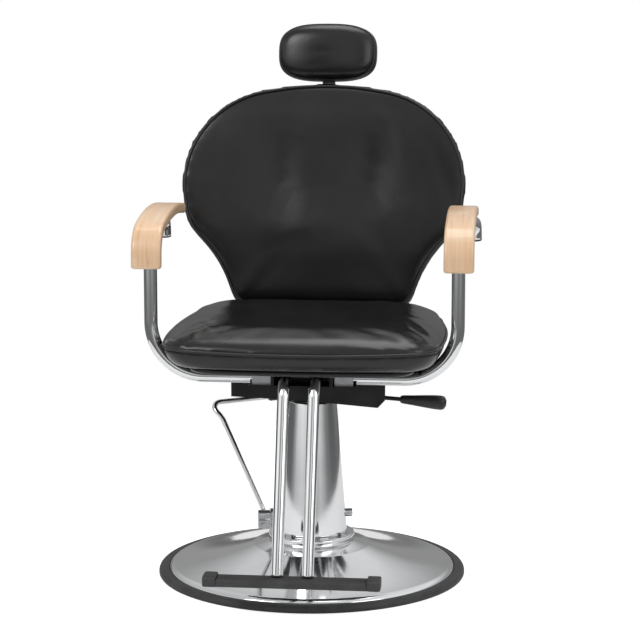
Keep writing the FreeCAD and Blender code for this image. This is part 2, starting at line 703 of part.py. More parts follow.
def make_arms():
    post, line, bend = size("arm_post"), size("arm_line"), size("arm_bend")
    radius, wall = size("arm_tube_radius"), size("arm_tube_wall")
    level = size("web_top") + radius
    splay = math.tan(math.radians(size("arm_splay")))
    arc_z = size("wood_top - wood_bow")
    arc = size("wood_bow - wood_thick") - radius - 0.3
    clamps = []
    plugs = []
    wood_screws = []
    for side, sign in SIDES:
        def rearward(along, height):
            return (sign * (post + (along + line) * splay), along, height)

        front_slope, rear_slope = math.asin(115 / arc), math.asin(90 / arc)
        front_z = arc_z + arc * math.cos(front_slope)
        rear_z = arc_z + arc * math.cos(rear_slope)
        corner_z = front_z - (line - 105) * math.tan(front_slope)
        heel_z = rear_z - 34 * math.tan(rear_slope)
        across = rear_z + 100 * math.tan(rear_slope) - front_z - 105 * math.tan(front_slope)
        crest_y = across / (math.tan(front_slope) + math.tan(rear_slope))
        crest_z = front_z + (crest_y + 105) * math.tan(front_slope)
        end = rearward(139, heel_z - 30)
        path = [(sign * 60, -line, level), (sign * post, -line, level), rearward(-line, corner_z),
                rearward(crest_y, crest_z), rearward(134, heel_z), end]
        tube(f"arm_tube_{side}", path, [bend, 42, arc, 24], radius, wall)
        way = (Vector(*end) - Vector(*path[-2])).normalize()
        plugs.append(rod(f"arm_plug_core_{side}", "arm_tube_radius - arm_tube_wall", "12", Vector(*end) - way * 12, way))
        plugs.append(rod(f"arm_plug_cap_{side}", "arm_tube_radius", "3", end, way))

        block = doc.addObject("Part::Box", f"tube_clamp_block_{side}")
        block.Length, block.Width, block.Height = 35, 34, 27
        block.Placement.Base = Vector(60 if sign > 0 else -95, -line - 17, size("web_top"))
        bore = rod(f"tube_clamp_bore_{side}", "arm_tube_radius", "40", (sign * 58, -line, level), (sign, 0, 0))
        slot = doc.addObject("Part::Box", f"tube_clamp_slot_{side}")
        slot.Length, slot.Width, slot.Height = 45, 2 * radius, radius + 5
        slot.Placement.Base = Vector(55 if sign > 0 else -100, -line - radius, level - radius - 5)
        passage = doc.addObject("Part::MultiFuse", f"tube_clamp_passage_{side}")
        passage.Shapes = [bore, slot]
        clamp = doc.addObject("Part::Cut", f"tube_clamp_{side}")
        clamp.Base, clamp.Tool = block, passage
        clamps.append(clamp)
        for along in (-70, 70):
            height = arc_z + math.sqrt(arc**2 - (along - 10) ** 2) - radius
            wood_screws.append(Vector(*rearward(along, height)))

        wood = new_body(f"armrest_{side}")
        middle = f"{'-' if sign < 0 else ''}wood_middle"
        corner_y = "(wood_corner - wood_front)"
        bow_y, bow_z = "10", "(wood_top - wood_bow)"
        rise = f"sqrt((wood_bow - wood_corner)^2 - ({bow_y} - {corner_y})^2)"
        inner = "(wood_bow - wood_thick)"
        scale_in, scale_out = (f"{bow} / (wood_bow - wood_corner)" for bow in (inner, "wood_bow"))
        pad(wood, "YZ_Plane", "wood_width", raised=middle, middle=True, outlines=[[
            ("wood_thick - wood_front", "618"),
            ("wood_thick - wood_front", f"{bow_z} + {rise}", "wood_thick - wood_corner"),
            (f"{bow_y} + ({corner_y} - {bow_y}) * {scale_in}", f"{bow_z} + {rise} * {scale_in}", f"-{inner}"),
            ("102", f"{bow_z} + sqrt({inner}^2 - 92^2)"),
            ("104", f"{bow_z} + sqrt(wood_bow^2 - 94^2)", "wood_bow"),
            (f"{bow_y} + ({corner_y} - {bow_y}) * {scale_out}", f"{bow_z} + {rise} * {scale_out}", "wood_corner"),
            ("-wood_front", f"{bow_z} + {rise}"),
            ("-wood_front", "618"),
        ]])
        round_edges(wood, "4", lambda edge, at: abs(abs(at.x) - size("wood_middle")) > size("wood_width / 2") - 0.01)
        keep(f"armrest_{side}", wood)

    group_of("tube_clamps", clamps)
    caps = []
    for core, cap in zip(plugs[::2], plugs[1::2]):
        joined = doc.addObject("Part::MultiFuse", f"{core.Name}_joined")
        joined.Shapes = [core, cap]
        caps.append(joined)
    group_of("arm_plugs", caps)
    screws("arm_screws", [(foot.x, foot.y, foot.z) for foot in wood_screws], (0, 0, -1), "3", "38", "6", "3")


# Footrest


def make_footrest():
    level = size("web_top + 15")
    end_y, end_z = -size("footrest_middle") + 8, size("footrest_top")
    for side, sign in SIDES:
        x = sign * size("foot_tube_gap") / 2
        tube(f"footrest_tube_{side}", [(x, -125, level), (x, -226, level), (x, end_y, end_z)],
             [36], size("foot_tube_radius"), 2)
    bar = new_body("footrest_bar")
    pad(bar, "XY_Plane", "footrest_thick", raised="footrest_top - footrest_thick", outlines=[box_corners(
        "-footrest_half + 24", "-footrest_middle - footrest_depth / 2",
        "footrest_half - 24", "-footrest_middle + footrest_depth / 2")])
    round_edges(bar, "3", lambda edge, at: abs(abs(at.x) - size("footrest_half - 24")) > 1)
    keep("footrest_bar", bar)
    caps = []
    for side, sign in SIDES:
        cap = new_body(f"footrest_cap_{side}")
        inner, outer = ("footrest_half - 24", "footrest_half") if sign > 0 else ("-footrest_half", "24 - footrest_half")
        pad(cap, "XY_Plane", "footrest_thick + 6", raised="footrest_top - footrest_thick - 1", outlines=[box_corners(
            inner, "-footrest_middle - footrest_depth / 2 - 1.5", outer, "-footrest_middle + footrest_depth / 2 + 1.5")])
        round_edges(cap, "3", lambda edge, at: True)
        caps.append(cap)
    group_of("footrest_caps", caps)


# Upholstered seat


def seat_outline(height, across, along):
    """The seat's outline at a height, drawn in towards its middle by two factors."""
    middle = -48

    def at(x, y):
        return (x * across, middle + (y - middle) * along, height)

    half = [
        (at(0, -273), at(100, -271), at(195, -262)),
        (at(195, -262), at(243, -240), at(258, -190)),
        (at(258, -190), at(264, -50), at(248, 80)),
        (at(248, 80), at(226, 148), at(160, 173)),
        (at(160, 173), at(80, 176), at(0, 177)),
    ]
    return arcs_wire(mirrored(half))


def make_seat():
    board = doc.addObject("Part::Feature", "seat_board")
    outline_wire = seat_outline(size("board_low"), 0.82, 0.86)
    board.Shape = Part.Face(outline_wire).extrude(Vector(0, 0, size("board_thick")))
    keep("seat_board", board)

    low = size("board_low + board_thick")
    crown = size("seat_top") - low
    levels = ((0, 0.84), (0.09, 0.91), (0.23, 0.965), (0.42, 0.995), (0.64, 0.985), (0.80, 0.945), (0.915, 0.875),
              (0.975, 0.79), (1.0, 0.70))
    wires = [seat_outline(low + part * crown, factor, 1 - (1 - factor) * 0.92) for part, factor in levels]
    lofted("seat_cushion", wires)


# Reclining back, drawn upright with the hinge as its origin and then leaned


def back_place():
    hinge = Vector(0, size("hinge_back"), size("hinge_height"))
    return Placement(hinge, Rotation(ALONG_X, -size("back_lean")))


def back_section(height, half, front, rear, inset=0.0):
    """A level section of the back: its wings come forward with their distance from the middle."""
    width = half - inset
    wing = 48 * (width / size("back_half")) ** 2
    edge = 12 - inset * 0.4
    tip = width
    side = width - edge
    front_end = -wing - edge
    rear_end = -wing + edge
    return arcs_wire([
        ((-side, front_end, height), (0, -front, height), (side, front_end, height)),
        ((side, front_end, height), (tip, -wing, height), (side, rear_end, height)),
        ((side, rear_end, height), (0, rear, height), (-side, rear_end, height)),
        ((-side, rear_end, height), (-tip, -wing, height), (-side, front_end, height)),
    ])


BACK_LEVELS = (
    (70, 168, 22, 10), (76, 178, 32, 14), (100, 187, 42, 19), (144, 204, 46, 20), (187, 230, 47, 20),
    (222, 260, 46, 20), (250, 277, 43, 20), (287, 286, 40, 20), (338, 290, 37, 20), (388, 281, 35, 20),
    (432, 256, 33, 19), (470, 214, 30, 18), (500, 160, 26, 16), (518, 104, 20, 12), (529, 46, 10, 6),
)


def make_back():
    place = back_place()
    stretch = size("back_top") / BACK_LEVELS[-1][0]
    wires = [back_section(height * stretch, half, front, rear) for height, half, front, rear in BACK_LEVELS]
    lofted("back_cushion", wires, place)

    panel_levels = [level for level in BACK_LEVELS if 76 < level[0] < 510]
    front_wires = []
    for height, half, front, rear in panel_levels:
        front_wires.append(panel_section(height * stretch, half - 16, rear))
    lofted("back_panel", front_wires, place)

    for side, sign in SIDES:
        bar = new_body(f"back_bar_{side}")
        inner = "rail_inner + rail_width + 2"
        pad(bar, "YZ_Plane", "4", raised=inner if sign > 0 else f"-({inner}) - 4",
            outlines=[[
                ("-15", "0", "15.01"),
                ("0", "-15", "15.01"),
                ("15", "0"),
                ("41", "58"),
                ("41", "90"),
                ("27.5", "108"),
                ("27.5", "330"),
                ("20", "336"),
                ("20", "104"),
                ("14", "84"),
            ]],
            rings=[("0", "0", "hinge_pin_radius + running_gap")])
        edge = f"({inner} + 4)"
        left, right = (f"{edge} - 36", edge) if sign > 0 else (f"-{edge}", f"36 - {edge}")
        pad(bar, "XZ_Plane", "4", raised="-27.5", outlines=[box_corners(left, "112", right, "326")])
        keep(f"back_bar_{side}", bar, place)

    cross = rod("back_crossbar", "8", "2 * (rail_inner + rail_width + 2)",
                (-size("rail_inner + rail_width + 2"), 33, 76), (1, 0, 0))
    keep("back_crossbar", cross, place.multiply(cross.Placement))

    reach = math.radians(size("half_recline + back_lean"))
    arm = size("lever_arm")
    pin = Vector(size("gas_side"), arm * math.sin(reach), -arm * math.cos(reach))
    plates = []
    for offset in (-12, 8):
        strip = Part.makePolygon([
            Vector(pin.x + offset, pin.y - 9, pin.z - 9), Vector(pin.x + offset, pin.y + 9, pin.z - 9),
            Vector(pin.x + offset, pin.y + 12, pin.z + 9), Vector(pin.x + offset, 42, 68),
            Vector(pin.x + offset, 24, 68), Vector(pin.x + offset, pin.y - 9, pin.z + 9),
            Vector(pin.x + offset, pin.y - 9, pin.z - 9),
        ])
        plate = Part.Face(strip).extrude(ALONG_X * 4)
        plates.append(plate.cut(Part.makeCylinder(4, 6, Vector(pin.x + offset - 1, pin.y, pin.z), ALONG_X)))
    shape = plates[0].fuse([plates[1], Part.makeBox(24, 18, 3, Vector(pin.x - 12, 24, 65))])
    feature = doc.addObject("Part::Feature", "back_lever")
    feature.Shape = shape.removeSplitter()
    keep("back_lever", feature, place)
    lever_pin = rod("lever_pin", "4", "26", (pin.x - 13, pin.y, pin.z), (1, 0, 0))
    keep("lever_pin", lever_pin, place.multiply(lever_pin.Placement))

    screws("back_screws", [(sign * size("rail_inner + rail_width - 14"), 27.5, height)
                           for sign in (-1, 1) for height in (130, 300)], (0, 1, 0), "3", "15", "8", "4", place)


def panel_section(height, half, rear):
    """A level section of the rear panel, which lies against the rear of the cushion."""
    wing = 48 * (half / size("back_half")) ** 2
    thick = 9
    ends = -wing + 13
    return arcs_wire([
        ((-half, ends, height), (0, rear + 0.5, height), (half, ends, height)),
        ((half, ends, height), (half, ends + thick, height)),
        ((half, ends + thick, height), (0, rear + thick + 0.5, height), (-half, ends + thick, height)),
        ((-half, ends + thick, height), (-half, ends, height)),
    ])


# Headrest


def make_headrest():
    place = back_place()
    guide = new_body("headrest_guide")
    pad(guide, "XY_Plane", "70", raised="395", outlines=[
        box_corners("-post_width / 2 - 5", "29.6", "post_width / 2 + 5", "43 + post_thick + 1"),
        box_corners("-post_width / 2 - 0.3", "39.7", "post_width / 2 + 0.3", "40.3 + post_thick"),
    ])
    keep("headrest_guide", guide, place)

    post = new_body("headrest_post")
    pad(post, "XZ_Plane", "post_thick", raised="-40 - post_thick",
        outlines=[box_corners("-post_width / 2", "262", "post_width / 2", "630")])
    pad(post, "XZ_Plane", "3", raised="-40", outlines=[box_corners("-58", "558", "58", "634")])
    keep("headrest_post", post, place)

    low = size("back_top + 8")
    tall = size("pad_height")
    half = size("pad_half")
    rear = 36.8
    depth = size("pad_thick")
    middle = low + tall / 2
    levels = ((0, 0.90), (0.06, 0.95), (0.2, 0.985), (0.42, 1.0), (0.62, 0.985), (0.8, 0.93), (0.93, 0.82), (1.0, 0.66))
    wires = []
    for part, factor in levels:
        wires.append(pad_outline(rear - part * depth, half * factor, tall / 2 * factor, middle))
    lofted("headrest_pad", wires, place)


def pad_outline(y, half, tall, middle):
    """The headrest's outline at a depth: a rounded block that is fullest at its middle."""
    corner = tall * 0.55
    x, z = half, middle

    def at(across, up):
        return (across, y, z + up)

    quarter = corner * (1 - math.sqrt(0.5))
    half_round = [
        (at(0, tall), at((x - corner) / 2, tall * 0.99), at(x - corner, tall * 0.95)),
        (at(x - corner, tall * 0.95), at(x - quarter, tall - quarter * 1.15), at(x - 2, tall - corner)),
        (at(x - 2, tall - corner), at(x, 0), at(x - 2, corner - tall)),
        (at(x - 2, corner - tall), at(x - quarter, quarter * 1.15 - tall), at(x - corner, -tall * 0.95)),
        (at(x - corner, -tall * 0.95), at((x - corner) / 2, -tall * 0.99), at(0, -tall)),
    ]
    return arcs_wire(mirrored(half_round))


def check_and_write():
    """Stops at any failed feature or bad solid, and writes each sub-part to its own file."""
    doc.recompute()
    faults = []
    for thing in doc.Objects:
        if "Invalid" in thing.State or "Error" in thing.State:
            faults.append(f"{thing.Name}: {thing.State}")
    for label, thing in nodes.items():
        shape = thing.Shape
        if shape.isNull() or not shape.isValid() or not shape.Solids or shape.Volume <= 0:
            faults.append(f"{label}: bad shape")
    if faults:
        raise RuntimeError("; ".join(faults))
    os.makedirs("parts", exist_ok=True)
    for label, thing in nodes.items():
        thing.Shape.exportStep(os.path.join("parts", f"{label}.step"))
        print(f"{label}: {thing.Shape.Volume / 1000:.1f} cm3, {len(thing.Shape.Solids)} solid(s)")


make_base()
make_column()
make_piston()
make_foot_lever()
make_plunger()
make_carrier()
make_gas_spring()
make_recline_handle()
make_arms()
make_footrest()
make_seat()
make_back()
make_headrest()
check_and_write()
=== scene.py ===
"""Barber chair: upholstery, bent tubes, wooden armrests and chromed base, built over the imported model.

Every piece is a surface worked out on a grid in metres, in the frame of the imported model: the column's axis is Z,
the floor is at 0 and the chair's front is toward -Y. Panel: View3D > Sidebar > Barber Chair.
"""

import json
import math

import bmesh
import bpy
import numpy as np
from bpy.props import FloatProperty, FloatVectorProperty, IntProperty, PointerProperty
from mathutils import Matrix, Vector


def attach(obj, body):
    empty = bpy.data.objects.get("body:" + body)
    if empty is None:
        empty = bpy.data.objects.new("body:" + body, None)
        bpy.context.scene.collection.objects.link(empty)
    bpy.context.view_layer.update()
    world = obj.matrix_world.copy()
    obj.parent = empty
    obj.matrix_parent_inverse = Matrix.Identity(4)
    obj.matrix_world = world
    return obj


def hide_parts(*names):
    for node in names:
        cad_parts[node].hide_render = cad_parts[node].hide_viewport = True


bl_info = {
    "name": "Barber Chair",
    "version": (1, 0, 0),
    "blender": (4, 5, 0),
    "location": "View3D > Sidebar > Barber Chair",
    "description": "Upholstery, bent tubes, wooden armrests and chromed base of a hydraulic barber chair",
    "category": "Add Mesh",
}

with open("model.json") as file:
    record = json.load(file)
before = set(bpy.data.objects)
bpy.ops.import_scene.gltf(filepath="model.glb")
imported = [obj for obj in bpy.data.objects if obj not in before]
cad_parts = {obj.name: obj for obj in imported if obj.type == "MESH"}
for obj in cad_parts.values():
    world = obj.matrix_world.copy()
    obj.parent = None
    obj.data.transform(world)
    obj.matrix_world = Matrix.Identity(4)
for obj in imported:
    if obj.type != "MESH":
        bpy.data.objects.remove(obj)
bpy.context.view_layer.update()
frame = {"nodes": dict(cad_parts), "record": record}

# The recline hinge, the lean of the back at rest, and how far the pump is turned round the column
HINGE_Y, HINGE_Z = 0.215, 0.416
LEAN = math.radians(9)
PUMP_TURN = math.radians(15)


# Sizes and colours


def length_property(name, description, default):
    return FloatProperty(name=name, description=description, default=default, unit="LENGTH")


def colour_property(name, description, default):
    return FloatVectorProperty(name=name, description=description, default=default, subtype="COLOR", size=3, min=0,
                               max=1)


class ChairSizes(bpy.types.PropertyGroup):
    """Sizes of the pieces that the scene shapes itself"""

    seam_radius: length_property("Piping radius", "Radius of the piping", 0.0029)
    seat_seam: length_property("Seat piping height", "Height of the seat's piping at the front", 0.4735)
    seat_crown: length_property("Seat crown", "Height of the crown of the seat", 0.516)
    puff: length_property("Puff", "Most that the stuffing may lift the cover", 0.007)
    voxel: length_property("Cover grid", "Grid of the stuffed cover", 0.006)
    frames: IntProperty(name="Stuffing frames", description="Frames that the stuffing is let settle", default=18)
    arm_tube_radius: length_property("Arm tube radius", "Radius of the arm tubes", 0.0125)
    foot_tube_radius: length_property("Footrest tube radius", "Radius of the footrest tubes", 0.011)
    lever_rod_radius: length_property("Lever rod radius", "Radius of the foot lever rod", 0.005)
    wood_width: length_property("Armrest width", "Width of the wooden armrests", 0.056)
    wood_thick: length_property("Armrest thickness", "Thickness of the wooden armrests", 0.020)
    wood_edge: length_property("Armrest edge", "Rounding of the armrests' edges", 0.0055)


class ChairColours(bpy.types.PropertyGroup):
    """Colours of the chair and of the stage"""

    vinyl: colour_property("Vinyl", "Upholstery colour", (0.0028, 0.0028, 0.0030))
    wood: colour_property("Wood", "Armrest colour", (0.90, 0.60, 0.37))
    wood_dark: colour_property("Wood grain", "Colour of the armrests' darker grain", (0.58, 0.31, 0.14))
    chrome: colour_property("Chrome", "Chrome plate", (0.78, 0.79, 0.80))
    rubber: colour_property("Rubber", "Floor ring and footrest rubber", (0.030, 0.030, 0.032))
    coat: colour_property("Black coat", "Powder coat of the seat carrier", (0.0065, 0.0065, 0.007))
    stage_white: FloatProperty(name="Stage", description="Whiteness of the floor", default=0.93, min=0, max=1)


def sizes():
    return bpy.context.scene.chair_sizes


def colours():
    return bpy.context.scene.chair_colours


# Curves and frames, as whole arrays


def three_point_arc(first, middle, last, count=40):
    """The circle through three plane points, from the first to the last past the middle one."""
    a, b, c = (np.array(point, float) for point in (first, middle, last))
    matrix = 2 * np.array([b - a, c - a])
    centre = np.linalg.solve(matrix, np.array([b @ b - a @ a, c @ c - a @ a]))
    angles = [math.atan2(*(point - centre)[::-1]) for point in (a, b, c)]
    turn = (angles[2] - angles[0]) % (2 * math.pi)
    part = (angles[1] - angles[0]) % (2 * math.pi)
    if part > turn:
        turn -= 2 * math.pi
    angle = angles[0] + np.linspace(0, turn, count)
    radius = np.hypot(*(a - centre))
    return centre + radius * np.stack([np.cos(angle), np.sin(angle)], -1)


def evenly(points, count, closed=True):
    """The same curve through count points at even steps of its length."""
    points = np.asarray(points, float)
    if closed:
        points = np.vstack([points, points[:1]])
    step = np.linalg.norm(np.diff(points, axis=0), axis=1)
    keep = np.concatenate([[True], step > 1e-9])
    points = points[keep]
    length = np.concatenate([[0], np.cumsum(np.linalg.norm(np.diff(points, axis=0), axis=1))])
    at = np.linspace(0, length[-1], count + 1)[:-1] if closed else np.linspace(0, length[-1], count)
    return np.stack([np.interp(at, length, points[:, axis]) for axis in range(points.shape[1])], -1)


def softened(points, rounds):
    """A closed curve with its kinks eased: each point goes halfway to the middle of its neighbours."""
    for _ in range(rounds):
        points = 0.5 * points + 0.25 * (np.roll(points, 1, 0) + np.roll(points, -1, 0))
    return points


def rounded_path(points, radii, step=0.004):
    """Straight runs joined by tangent arcs, sampled at even steps."""
    points = [np.array(point, float) for point in points]
    pieces = [points[0][None]]
    for corner, radius, following, previous in zip(points[1:-1], radii, points[2:], points[:-2]):
        back = (previous - corner) / np.linalg.norm(previous - corner)
        on = (following - corner) / np.linalg.norm(following - corner)
        half = math.acos(np.clip(back @ on, -1, 1)) / 2
        middle = (back + on) / np.linalg.norm(back + on)
        centre = corner + middle * radius / math.sin(half)
        start = corner + back * radius / math.tan(half) - centre
        sweep = math.pi - 2 * half
        side = -middle * radius
        side = side - start * (side @ start) / (start @ start)
        side = side / np.linalg.norm(side) * radius
        angle = np.linspace(0, sweep, max(8, int(radius * sweep / step)))[:, None]
        pieces.append(centre + np.cos(angle) * start + np.sin(angle) * side)
    pieces.append(points[-1][None])
    path = np.vstack(pieces)
    length = np.linalg.norm(np.diff(path, axis=0), axis=1).sum()
    return evenly(path, max(12, int(length / step)), closed=False)


def tangents(path, closed=False):
    if closed:
        way = np.roll(path, -1, 0) - np.roll(path, 1, 0)
    else:
        way = np.gradient(path, axis=0)
    return way / np.linalg.norm(way, axis=1, keepdims=True)


def tube_grid(path, radius, reference, around=40, closed=False):
    """Rings of a round tube: each lies across the path, started at the side that the reference direction gives."""
    way = tangents(path, closed)
    side = np.cross(way, np.asarray(reference, float))
    side /= np.linalg.norm(side, axis=1, keepdims=True)
    up = np.cross(side, way)
    angle = np.linspace(0, 2 * math.pi, around, endpoint=False)
    radius = np.broadcast_to(np.asarray(radius, float), (len(path),))[:, None, None]
    ring = np.cos(angle)[None, :, None] * side[:, None] + np.sin(angle)[None, :, None] * up[:, None]
    return path[:, None] + radius * ring


def turned_grid(profile, around):
    """Rings of a turned piece: each profile point, as radius and height, goes once round Z."""
    profile = np.asarray(profile, float)
    angle = np.linspace(0, 2 * math.pi, around, endpoint=False)
    ring = np.stack([np.cos(angle), np.sin(angle)], -1)
    flat = profile[:, 0][:, None, None] * ring[None]
    height = np.broadcast_to(profile[:, 1][:, None, None], flat.shape[:2] + (1,))
    return np.concatenate([flat, height], -1)


def turn_about_z(points, angle):
    c, s = math.cos(angle), math.sin(angle)
    x, y, z = points[..., 0], points[..., 1], points[..., 2]
    return np.stack([c * x - s * y, s * x + c * y, z], -1)


def leaned(points):
    """Points of the upright back, measured from the recline hinge, put where the leaning back is."""
    c, s = math.cos(LEAN), math.sin(LEAN)
    x, y, z = points[..., 0], points[..., 1], points[..., 2]
    return np.stack([x, HINGE_Y + c * y + s * z, HINGE_Z - s * y + c * z], -1)


def behind_hinge(points):
    """How far points lie behind the leaning plane through the recline hinge."""
    return (points[:, 1] - HINGE_Y) * math.cos(LEAN) - (points[:, 2] - HINGE_Z) * math.sin(LEAN)


def gap_to(points, line):
    """Distance of each point to the nearest point of a line."""
    return np.sqrt(((points[:, None] - line[None]) ** 2).sum(-1)).min(1)


def waves(points, seed, scale):
    """Smooth unevenness between -1 and 1: a sum of six plane waves with seeded directions."""
    rng = np.random.default_rng(seed)
    way = rng.normal(size=(6, 3))
    way /= np.linalg.norm(way, axis=1, keepdims=True)
    length = scale * rng.uniform(0.7, 1.6, 6)
    phase = rng.uniform(0, 2 * math.pi, 6)
    return np.sin(points @ (way / length[:, None]).T * 2 * math.pi + phase).mean(-1)


# Meshes


def new_piece(name, vertices, faces, plank=None):
    """A smooth closed piece with its faces turned outwards; plank is a vector for each vertex that the wood reads."""
    mesh = bpy.data.meshes.new(name)
    mesh.from_pydata(np.asarray(vertices).tolist(), [], faces)
    piece = bpy.data.objects.new(name, mesh)
    bpy.context.scene.collection.objects.link(piece)
    if plank is not None:
        layer = mesh.attributes.new("plank", "FLOAT_VECTOR", "POINT")
        layer.data.foreach_set("vector", np.ascontiguousarray(plank, float).ravel())
    shell = bmesh.new()
    shell.from_mesh(mesh)
    bmesh.ops.remove_doubles(shell, verts=shell.verts, dist=1e-7)
    bmesh.ops.recalc_face_normals(shell, faces=shell.faces)
    shell.to_mesh(mesh)
    shell.free()
    mesh.shade_smooth()
    return piece


def grid_faces(rows, around, first=0, closed_rows=False):
    """Four-sided faces between neighbouring points of a grid whose rings are closed."""
    index = first + np.arange(rows * around).reshape(rows, around)
    beside = np.roll(index, -1, 1)
    if closed_rows:
        above, above_beside = np.roll(index, -1, 0), np.roll(beside, -1, 0)
        quads = np.stack([index, beside, above_beside, above], -1)
    else:
        quads = np.stack([index[:-1], beside[:-1], beside[1:], index[1:]], -1)
    return quads.reshape(-1, 4).tolist()


def shell_of(grid, closed_rows=False, first=0):
    """Vertices and faces of a grid of closed rings. The end rings are closed to their middle point, or, with
    closed_rows, the last ring is joined to the first."""
    rows, around = grid.shape[:2]
    vertices = grid.reshape(-1, 3)
    faces = grid_faces(rows, around, first, closed_rows)
    if not closed_rows:
        total = first + rows * around
        vertices = np.vstack([vertices, grid[0].mean(0)[None], grid[-1].mean(0)[None]])
        low, high = first + np.arange(around), total - around + np.arange(around)
        faces += np.stack([np.roll(low, -1), low, np.full(around, total)], -1).tolist()
        faces += np.stack([high, np.roll(high, -1), np.full(around, total + 1)], -1).tolist()
    return vertices, faces


def grid_piece(name, grid, closed_rows=False):
    return new_piece(name, *shell_of(grid, closed_rows))


def vertex_array(piece):
    points = np.empty(len(piece.data.vertices) * 3)
    piece.data.vertices.foreach_get("co", points)
    return points.reshape(-1, 3)


def set_vertices(piece, points):
    piece.data.vertices.foreach_set("co", np.ascontiguousarray(points, float).ravel())
    piece.data.update()


def applied(piece):
    """Makes the piece's modifiers part of its mesh."""
    graph = bpy.context.evaluated_depsgraph_get()
    mesh = bpy.data.meshes.new_from_object(piece.evaluated_get(graph))
    old = piece.data
    piece.modifiers.clear()
    piece.data = mesh
    bpy.data.meshes.remove(old)
    piece.data.shade_smooth()


def put(piece, body, finish_name, slot, *nodes):
    """Gives a piece its finish, its body and the CAD nodes that it stands for."""
    piece.data.materials.clear()
    piece.data.materials.append(finish(finish_name))
    if nodes:
        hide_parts(*nodes)
    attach(piece, body)


def turned_piece(name, profile, around, body, finish_name, slot, node):
    """A closed profile in millimetres, as radius and height, turned round Z."""
    put(grid_piece(name, turned_grid(profile / 1000, around), closed_rows=True), body, finish_name, slot, node)


# Stuffed covers


def stuffed(piece, held, cap, pressure=4.0, voxel=None, give=1.0):
    """Lets stuffing press a closed cover outward. held tells for each point, from 0 to 1, how firmly it is sewn or
    glued down, no point moves further than cap, and give is the share of the movement that the firm foam allows."""
    settings = sizes()
    remesh = piece.modifiers.new("grid", "REMESH")
    remesh.mode = "VOXEL"
    remesh.voxel_size = voxel or settings.voxel
    applied(piece)
    start = vertex_array(piece)
    weights = held(start)
    group = piece.vertex_groups.new(name="held")
    step = 0.1
    for level in np.linspace(step, 1.0, 10):
        chosen = np.nonzero((weights > level - step) & (weights <= level))[0]
        if len(chosen):
            group.add(chosen.tolist(), float(level), "REPLACE")
    cloth = piece.modifiers.new("stuffing", "CLOTH")
    cloth.settings.quality = 6
    cloth.settings.use_pressure = True
    cloth.settings.uniform_pressure_force = pressure
    cloth.settings.vertex_group_mass = "held"
    cloth.settings.effector_weights.gravity = 0
    cloth.settings.tension_stiffness = 25
    cloth.settings.compression_stiffness = 25
    cloth.settings.bending_stiffness = 1.5
    cloth.point_cache.frame_start = 1
    cloth.point_cache.frame_end = settings.frames
    scene = bpy.context.scene
    for number in range(1, settings.frames + 1):
        scene.frame_set(number)
    applied(piece)
    scene.frame_set(1)
    moved = vertex_array(piece) - start
    length = np.linalg.norm(moved, axis=1, keepdims=True)
    moved *= give * np.minimum(1, cap / np.maximum(length, 1e-9)) * (1 - weights)[:, None]
    set_vertices(piece, start + moved)
    piece.vertex_groups.clear()


def relaxed(piece, rounds):
    """Eases the small steps that the grid leaves."""
    smooth = piece.modifiers.new("ease", "SMOOTH")
    smooth.factor = 0.5
    smooth.iterations = rounds
    applied(piece)


def subdivided(piece):
    """One finer level, once the stuffing has given the cover an even grid."""
    finer = piece.modifiers.new("finer", "SUBSURF")
    finer.levels = finer.render_levels = 1


def laid_on(piece, path, lift):
    """Points of a path brought to the nearest place of a piece's surface and lifted off it."""
    graph = bpy.context.evaluated_depsgraph_get()
    found = [piece.closest_point_on_mesh(Vector(point), depsgraph=graph) for point in path]
    place = np.array([spot[1] for spot in found])
    normal = np.array([spot[2] for spot in found])
    normal = softened(normal, 4)
    normal /= np.linalg.norm(normal, axis=1, keepdims=True)
    return softened(place, 2) + normal * lift


def sewn_piping(name, cover, seam_line, radius, lift, reference, around, body):
    """A cord laid on a cover along its seam line."""
    path = softened(laid_on(cover, seam_line, lift), 3)
    cord = grid_piece(name, tube_grid(path, radius, reference, around, closed=True), closed_rows=True)
    put(cord, body, "piping_vinyl", "black_vinyl")


def near(distance, full, none):
    """1 within the full distance, 0 beyond the none distance, even between."""
    return np.clip((none - distance) / (none - full), 0, 1)


# Materials


